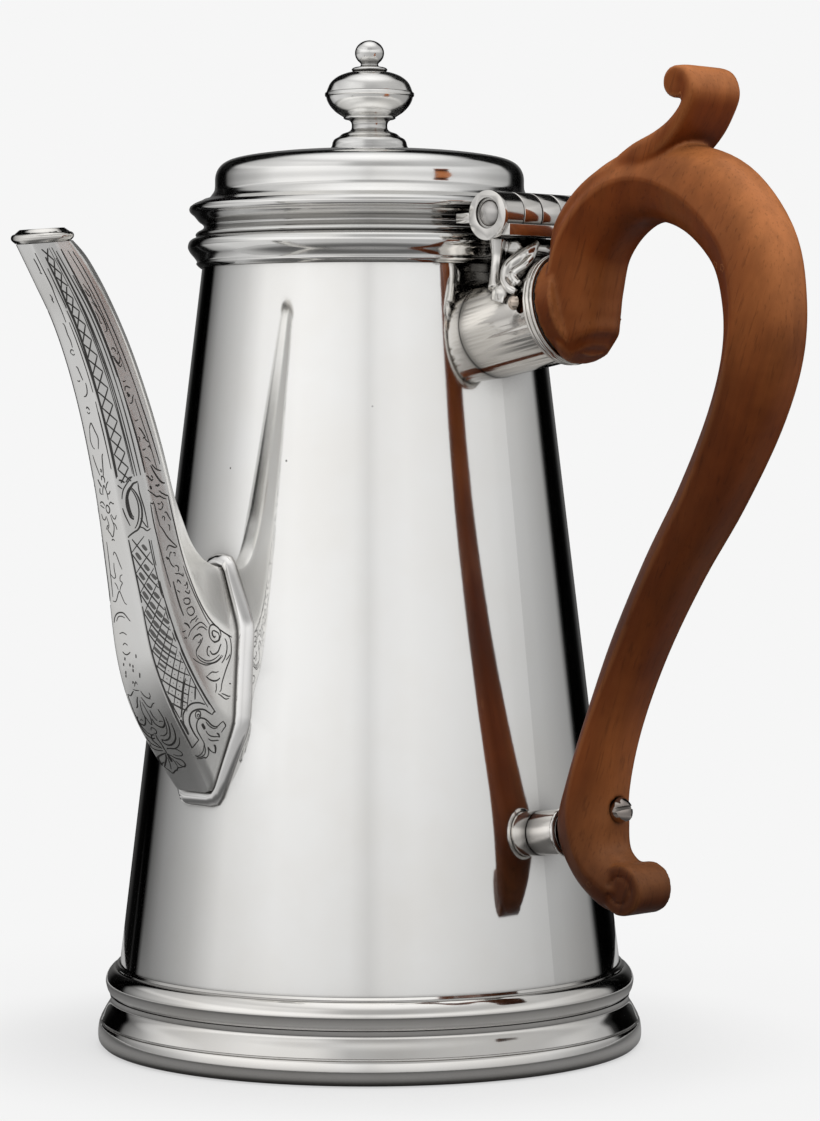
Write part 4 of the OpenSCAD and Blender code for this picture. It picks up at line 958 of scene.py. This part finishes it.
SIDE_STROKES = [
    (50, -56, 1070, -64, 1033, -69, 973, -75, 913, -77, 853, -78, 807, -79, 733),
    (50, -79, 735, -77, 685, -73, 635, -74, 592, -75, 570), (28, -102, 1000, -105, 927, -110, 847, -114, 767),
    (26, 3, 1060, 2, 967, 0, 867, 3, 767), (26, 5, 715, 13, 662, 23, 625, 31, 568),
    (34, 46, 1053, 43, 967, 36, 887, 38, 800, 46, 733), (34, 46, 735, 49, 692, 59, 635, 66, 575),
    (30, -38, 967, -31, 953, -22, 940, -29, 927, -26, 913, -18, 903), (30, -54, 953, -48, 940, -38, 932),
    (34, -49, 920, -36, 913, -28, 903, -19, 887, -15, 867, -20, 855, -36, 852, -49, 853),
    (26, -59, 900, -49, 887, -55, 873, -41, 870), (34, -53, 817, -41, 819, -28, 817, -19, 809),
    (40, -75, 806, -59, 803, -48, 793, -31, 787, -13, 792, 2, 798), (28, -64, 802, -49, 790, -28, 780, -8, 784),
    (26, -18, 803, -8, 805, 3, 807), (26, -54, 755, -38, 753, -23, 753),
    (34, -59, 737, -49, 743, -31, 743, -18, 740, -5, 737), (60, -43, 733, -41, 725, -29, 728),
    (34, -51, 713, -36, 711, -20, 714, -8, 720, 5, 722), (26, -49, 678, -36, 676, -20, 677),
    (36, -34, 662, -23, 658, -10, 649, 3, 638), (26, -59, 646, -51, 643, -55, 635),
    (34, -50, 618, -36, 617, -22, 618), (30, -23, 638, -10, 640, 3, 632, 18, 627),
    (30, 3, 618, 15, 620, 23, 612), (28, -49, 602, -33, 600, -18, 595, -8, 588),
    (46, -15, 581, -3, 568, 15, 553, 36, 540, 55, 535, 69, 534), (34, -3, 582, 10, 575, 26, 568, 64, 561),
    (40, -70, 563, -54, 557, -36, 548, -22, 551), (34, -31, 560, -20, 553), (60, -61, 538, -55, 533, -58, 530),
    (50, -13, 536, 5, 533, 23, 535), (36, -84, 531, -64, 524, -41, 517, -23, 512, 3, 511, 28, 505, 51, 502),
    (36, 5, 522, 28, 515, 54, 509, 74, 506), (30, -87, 505, -69, 502, -56, 505),
    (30, -28, 490, -13, 487, 5, 489, 15, 495, 3, 500), (30, -28, 500, -15, 497, -3, 498),
    (34, 15, 480, 31, 478, 43, 470, 55, 462), (28, -13, 472, -3, 475, 8, 472, 3, 467),
    (28, 23, 458, 36, 455, 31, 447), (34, -41, 463, -23, 456, -3, 444, 23, 432, 43, 423, 63, 414),
    (34, -23, 423, -3, 427, 20, 423, 43, 416, 63, 413), (28, -10, 410, 3, 415, 13, 412),
    (28, 23, 410, 38, 407, 31, 402), (30, -26, 413, -18, 408, -8, 395, 8, 387),
    (28, 13, 388, 26, 385, 36, 377, 23, 373), (28, 0, 377, 15, 372, 31, 368),
    (34, -56, 502, -51, 482, -41, 463), (30, -100, 502, -87, 472, -72, 435, -61, 402, -56, 368),
    (34, -36, 415, -28, 410, -13, 408), (34, 72, 505, 74, 475, 82, 435, 92, 402, 95, 368),
    (34, 95, 370, 92, 320, 92, 270, 90, 210, 87, 157, 89, 137, 97, 103),
    (28, 72, 370, 74, 317, 77, 260, 74, 203, 72, 178), (44, -28, 370, -31, 350, -33, 327, -31, 303),
    (34, -5, 360, 5, 363, 15, 356, 20, 350), (28, -19, 350, -10, 345, -3, 340),
    (34, 29, 330, 37, 322, 49, 314, 58, 317), (28, 26, 368, 38, 363, 49, 355, 54, 360),
    (28, 36, 340, 48, 335, 59, 337, 55, 328, 43, 327),
    (34, 0, 320, 5, 322, 18, 318, 33, 310, 39, 302, 31, 299, 15, 305, 3, 313, -1, 319),
    (34, -3, 298, 5, 300, 20, 294, 36, 285, 39, 273, 31, 270, 13, 277, 0, 288, -3, 297),
    (44, -44, 293, -34, 286, -26, 277, -24, 268), (26, -74, 290, -61, 283, -51, 280),
    (26, -79, 277, -69, 273, -61, 267), (30, -13, 273, 5, 269, 23, 260, 41, 254),
    (26, 18, 253, 31, 250, 41, 245), (30, -51, 264, -26, 262, 0, 253, 23, 242, 41, 230, 51, 213, 56, 190),
    (42, -37, 244, -18, 239, -3, 230, 10, 220, 15, 207), (30, 8, 237, 23, 230, 36, 218, 43, 207, 49, 188),
    (34, -55, 213, -48, 219, -33, 216, -19, 211, -3, 206, 15, 202), (28, -18, 220, -10, 213, 3, 210),
    (28, -48, 208, -41, 193, -31, 173, -18, 153, -3, 133, 15, 110, 28, 93),
    (28, -55, 213, -51, 197, -36, 170, -20, 147, -3, 122, 15, 97, 31, 80),
    (28, -78, 226, -69, 210, -54, 188, -36, 162, -15, 137, 3, 110, 20, 87, 33, 70),
    (40, -64, 157, -59, 140, -48, 117, -36, 97, -24, 82), (28, -60, 153, -43, 140, -31, 127, -23, 110, -13, 93),
    (34, -5, 153, -7, 165, 3, 170, 15, 165, 18, 157), (40, 10, 155, 9, 140, 18, 122, 33, 103, 49, 93, 55, 87),
    (40, 41, 150, 42, 163, 50, 173, 61, 176, 74, 170, 83, 153, 87, 130, 85, 107, 77, 93, 66, 98),
    (44, 41, 150, 44, 133, 52, 117, 60, 103, 66, 98), (44, 66, 153, 60, 155, 55, 148, 55, 137, 61, 130),
    (34, 66, 153, 70, 143, 73, 127, 75, 107), (34, 59, 107, 69, 103, 74, 113),
    (30, 84, 103, 92, 87, 95, 70, 90, 50, 83, 33), (36, 13, 77, 26, 63, 41, 52, 55, 47, 68, 52, 74, 65),
    (36, -56, 80, -48, 72, -31, 69, -13, 60, 8, 47, 28, 30, 46, 13, 61, 10, 77, 20, 89, 37),
    (30, -55, 68, -51, 50, -48, 27, -43, 3), (30, -64, 87, -61, 70, -59, 43, -50, 17),
    (30, -69, 103, -56, 99, -46, 103), (34, 94, 107, 100, 83, 100, 50, 97, 10), (28, 28, 50, 36, 37, 46, 23),
    (30, -18, 20, -17, 10, -15, 2),
]


# %% Places on the spout's sides
def corner(which, up):
    """A corner of the spout: 0 to 3 on one side, -1 for the first one mirrored."""
    place = min(max(up * STEPS, 0), len(corner_lines) - 1.001)
    low = int(place)
    point = corner_lines[low][max(which, 0)] * (1 - place + low) + corner_lines[low + 1][max(which, 0)] * (place - low)
    return point * FLIP if which < 0 else point


def on_side(side, across, up):
    """A point on side 0 (front), 1 (slanting) or 2 (side)."""
    a, b = corner(side - 1, up), corner(side, up)
    return a + (b - a) * (across + 1) / 2


print("the spout's first corner at its root", np.round(corner(0, 0), 1), "mm")


# %% A stroke as a low strip
def strip(side, width, points, rounds=3, tip=0.45):
    """The corner rows of one stroke: a low strip that swells in the middle, from a share at its tips."""
    points = [(min(max(t, -0.86), 0.86), s) for t, s in points]
    line = smooth_line(points, rounds if len(points) > 2 else 2)
    places = np.array([on_side(side, t, s) for t, s in line])
    rows = []
    for i, here in enumerate(places):
        t, s = line[i]
        edge = on_side(side, 1, s) - on_side(side, -1, s)
        ahead = places[min(i + 1, len(places) - 1)] - places[max(i - 1, 0)]
        out = np.cross(edge, on_side(side, t, s + 0.05) - on_side(side, t, s - 0.05))
        out /= np.linalg.norm(out)
        beside = np.cross(out, ahead)
        beside /= max(np.linalg.norm(beside), 1e-6)
        swell = tip + (1 - tip) * math.sin(math.pi * (i + 0.5) / len(places)) ** 0.6
        half = width * 0.62 * swell
        rows.append([here - beside * half - out * 0.05, here - beside * half * 0.8 + out * 0.02,
                     here + beside * half * 0.8 + out * 0.02, here + beside * half - out * 0.05])
    return rows


def engraved(name, strokes, paint):
    """One mesh from many strips: a stroke is its rows and the halves of the spout it is on."""
    points, faces = [], []
    for rows, halves in strokes:
        for flip in halves:
            first = len(points)
            for row in rows:
                points += [tuple(np.array(p) * (flip, 1, 1) * MM) for p in row]
            last = first + 4 * (len(rows) - 1)
            for a in range(first, last, 4):
                for j in range(4):
                    faces.append((a + j, a + (j + 1) % 4, a + 4 + (j + 1) % 4, a + 4 + j)[::flip])
            faces.append(tuple(range(first, first + 4))[::-flip])
            faces.append(tuple(range(last, last + 4))[::flip])
    mesh = bpy.data.meshes.new(name)
    mesh.from_pydata(points, [], faces)
    obj = bpy.data.objects.new(name, mesh)
    bpy.context.scene.collection.objects.link(obj)
    edit_mode(obj)
    outwards()
    settle(obj, name, "pot", paint=paint)


strokes = []
BOTH_HALVES = (1, -1)


def slanting(width, points):
    """A stroke on the slanting sides, left and right."""
    strokes.append((strip(1, width, points), BOTH_HALVES))


for side, group in enumerate((FRONT_STROKES, SLANT_STROKES, SIDE_STROKES)):
    for width, *numbers in group:
        points = [(t / 100, s / 100) for t, s in zip(numbers[::2], numbers[1::2])]
        strokes.append((strip(side, width / 100, points), (1,) if side == 0 else BOTH_HALVES))
print("strokes drawn one by one:", len(strokes))

# %% Diamonds and lines
# the chain of diamonds on the slanting side's upper half
for k in range(16):
    middle = 10.62 - 0.325 * k
    left = np.interp(middle, [5.7, 6.5, 7.5, 8.5, 9, 9.5, 10, 10.6], [-.6, -.68, -.75, -.68, -.6, -.5, -.38, -.34])
    right = 0.24 if middle > 9.9 else 0.12
    slanting(0.32, [(left, middle + 0.16), (right, middle - 0.16)])
    slanting(0.32, [(right, middle + 0.16), (left, middle - 0.16)])
for t, width in ((0.3, 0.17), (0.56, 0.24)):
    slanting(width, [(t + 0.08, 10.8), (t, 9), (t, 7), (t + 0.02, 5.75)])
for t in (0.7, 0.82):
    slanting(0.26, [(t - 0.1, 4.5), (t - 0.03, 3.4), (t, 2.2), (t, 1.2)])
print("strokes with the diamonds and lines:", len(strokes))


# %% The trellis lower down: two families of lines, with shaded cells between them
def trellis_point(part, s):
    """A point of the trellis: part is its share of the width between the two edges."""
    left = np.interp(s, [1.6, 2.2, 3, 4, 4.6], [-0.72, -0.78, -0.84, -0.86, -0.84])
    right = np.interp(s, [1.6, 2.2, 3, 3.6, 4.6], [0.64, 0.66, 0.64, 0.6, 0.5])
    return left + (right - left) * part, s


def in_trellis(point):
    t, s = point
    return (1.66 + 0.16 * t if t > -0.3 else 1.62 - 0.5 * (t + 0.3)) <= s <= 4.6


def falling(s):
    return np.interp(s, [2, 3, 4.4], [1.15, 0.9, 0.45])


def rising(s):
    return np.interp(s, [2, 3, 4.4], [0.62, 0.42, 0.2])


falls = [(start, -falling(start - 0.4)) for start in np.arange(1.8, 6.0, 0.26)]
rises = [(start, rising(start + 0.2)) for start in np.arange(0.9, 4.7, 0.27)]
for start, slope in falls + rises:
    line = [trellis_point(part, start + slope * part) for part in np.linspace(0, 1, 7)]
    line = [point for point in line if in_trellis(point)]
    if len(line) > 2:
        slanting(0.34 if slope < 0 else 0.24, line)
shading = []
for start, slope in falls:
    for other, climb in rises:
        part = (start + 0.13 - other - 0.135) / (climb - slope)
        level = start + 0.13 + slope * part
        if not (0.06 < part < 0.95 and in_trellis(trellis_point(part, level)) and level < 4.5):
            continue
        if level > 2.75:
            reach = 0.09
            ends = [trellis_point(part + reach * k, level + slope * reach * k) for k in (-1, 0, 1)]
            wide = np.interp(level, [2.7, 3.3, 4.4], [0.5, 0.8, 0.75])
            shading.append((strip(1, wide, ends, tip=0.35), BOTH_HALVES))
        else:
            slanting(0.3, [trellis_point(part - 0.012, level), trellis_point(part + 0.012, level)])
engraved("engraved_strokes", strokes, engraving_dark)
engraved("engraved_shading", shading, shading_dark)

# %% [markdown]
# ## Fittings
# The sockets, screws and hinge pieces keep the shapes of the CAD model. Hand-filed silver
# has no knife edges, so a copy of each is cleaned and its edges are bevelled. The lip is
# such a copy too, but is turned flatter than in the CAD model, because a pot's mouth lies
# nearly level. The moulding round the spout's root is swept again. The cast bracket gets
# its pillars, beads and scrolls, and is melted to one skin.

# %% Bevelled copies
def copied(node_name):
    """A cleaned copy of a CAD node's mesh."""
    source = nodes[node_name]
    obj = bpy.data.objects.new(node_name + "_fine", source.data.copy())
    bpy.context.scene.collection.objects.link(obj)
    obj.data.transform(source.matrix_world)
    edit_mode(obj)
    bpy.ops.mesh.remove_doubles(threshold=SAME_PLACE)
    bpy.ops.mesh.dissolve_limited(angle_limit=math.radians(0.3))
    outwards()
    return obj


def fine_copy(node_name, name, width, body="pot"):
    """A copy with its edges bevelled by a width in millimetres."""
    obj = copied(node_name)
    modified(obj, "BEVEL", width=width * MM, segments=3, limit_method="ANGLE", angle_limit=math.radians(28),
             harden_normals=False)
    active(obj)
    smooth_by(32)
    settle(obj, name, body, node_name)
    return obj


mouth = fine_copy("spout_lip", "spout_mouth", 0.3)
LIP_MIDDLE = Vector((0, -101.9, 190.1)) * MM
LIP_TURN = math.radians(-12)
mouth.data.transform(Matrix.Translation(LIP_MIDDLE) @ Matrix.Rotation(LIP_TURN, 4, "X")
                     @ Matrix.Translation(-LIP_MIDDLE))
for node_name, name, width in (
        ("upper_socket", "handle_socket", 0.2), ("upper_socket_collar", "reeded_collar", 0.15),
        ("lower_socket", "lower_handle_socket", 0.2), ("lower_socket_collar", "lower_bead", 0.15),
        ("lower_handle_screw", "handle_screw", 0.15), ("upper_handle_pin", "handle_rivet", 0.12),
        ("hinge_body_leaf", "hinge_barrel_and_plate", 0.3)):
    fine_copy(node_name, name, width)
fine_copy("hinge_lid_leaf", "hinge_leaf_of_lid", 0.25, "lid")
fine_copy("hinge_pin", "hinge_rod", 0.25)

# %% The moulding round the spout's root
def eight_points(corners):
    """An eight-sided loop with bevelled corners, from x, z of the four on one side."""
    half = [np.array((x, 0, z)) for x, z in corners]
    return filled(bevelled(np.array(half + [p * FLIP for p in half[::-1]]), 0.12), 4)


outer_loop = eight_points([(6.4, 60.6), (12.7, 79.3), (11.4, 103.4), (3.4, 118.6)])
inner_loop = eight_points([(5.2, 65.4), (9.0, 80.8), (7.8, 100.8), (2.2, 115)])
profile = [(0, -0.4), (0, 0.3), (0.05, 0.9), (0.16, 1.5), (0.32, 1.95), (0.46, 2.2), (0.56, 2.2), (0.7, 1.9),
           (1.0, 1.7), (1.0, -0.4)]
rings = []
for outer, inner in zip(outer_loop, inner_loop):
    ring = []
    for part, above in profile:
        x, _, z = outer + (inner - outer) * part
        ring.append((x, -math.sqrt(body_r(z) ** 2 - x * x) - above, z))
    rings.append(ring)
moulding = wrapped(rings + [rings[0]])
smooth_by(30)
settle(moulding, "joint_moulding", "pot", "spout_joint_frame")

# %% The cast bracket
def rod_through(points, steps=6, across=20):
    """A closed round rod through points x, y, z, radius."""
    line = np.array(smooth_line(points, steps))
    rings = []
    for i, (x, y, z, radius) in enumerate(line):
        along = line[min(i + 1, len(line) - 1), :3] - line[max(i - 1, 0), :3]
        along /= np.linalg.norm(along)
        beside = np.cross(along, (0.31, 0.2, 0.93))
        beside /= np.linalg.norm(beside)
        above = np.cross(along, beside)
        rings.append([np.array((x, y, z)) + radius * (beside * math.cos(a) + above * math.sin(a))
                      for a in np.arange(across) * 2 * math.pi / across])
    return wrapped(rings)


def ball(radius, place, squash=(1, 1, 1)):
    """A bead at a place in millimetres."""
    nothing_selected()
    bpy.ops.mesh.primitive_ico_sphere_add(subdivisions=4, radius=radius * MM, location=[v * MM for v in place])
    bpy.context.object.scale = squash
    return placed()


pieces = [copied("hinge_bracket")]
for side in (-1, 1):
    pieces += [
        rod_through([(50, 8.3 * side, 191, 2.2), (50, 8.5 * side, 187, 1.5), (50.3, 9.2 * side, 183, 1.6),
                     (51.2, 10.2 * side, 179.5, 2.0)]),
        ball(2.5, (53.2, 11 * side, 178.2), (1.0, 0.55, 0.95)),
        ball(1.5, (54, 6 * side, 188.1)), ball(1.35, (54.5, 1.6 * side, 188.1)),
        rod_through([(56.5, 3 * side, 190, 1.3), (57, 6.5 * side, 187.5, 1.7), (54.5, 9.3 * side, 184.5, 1.6),
                     (54.8, 11 * side, 181.5, 1.3), (57, 11.9 * side, 179.3, 1.1), (58.6, 11.6 * side, 178.4, 0.8)]),
        rod_through([(57.5, 4.5 * side, 188, 1.0), (58.5, 8 * side, 185, 1.2), (56.5, 10.2 * side, 182.5, 1.0),
                     (58.8, 10.6 * side, 180.3, 0.8)])]
bracket = joined(pieces)
one_skin(bracket, 0.24, 2)
settle(bracket, "scroll_bracket", "pot", "hinge_bracket")
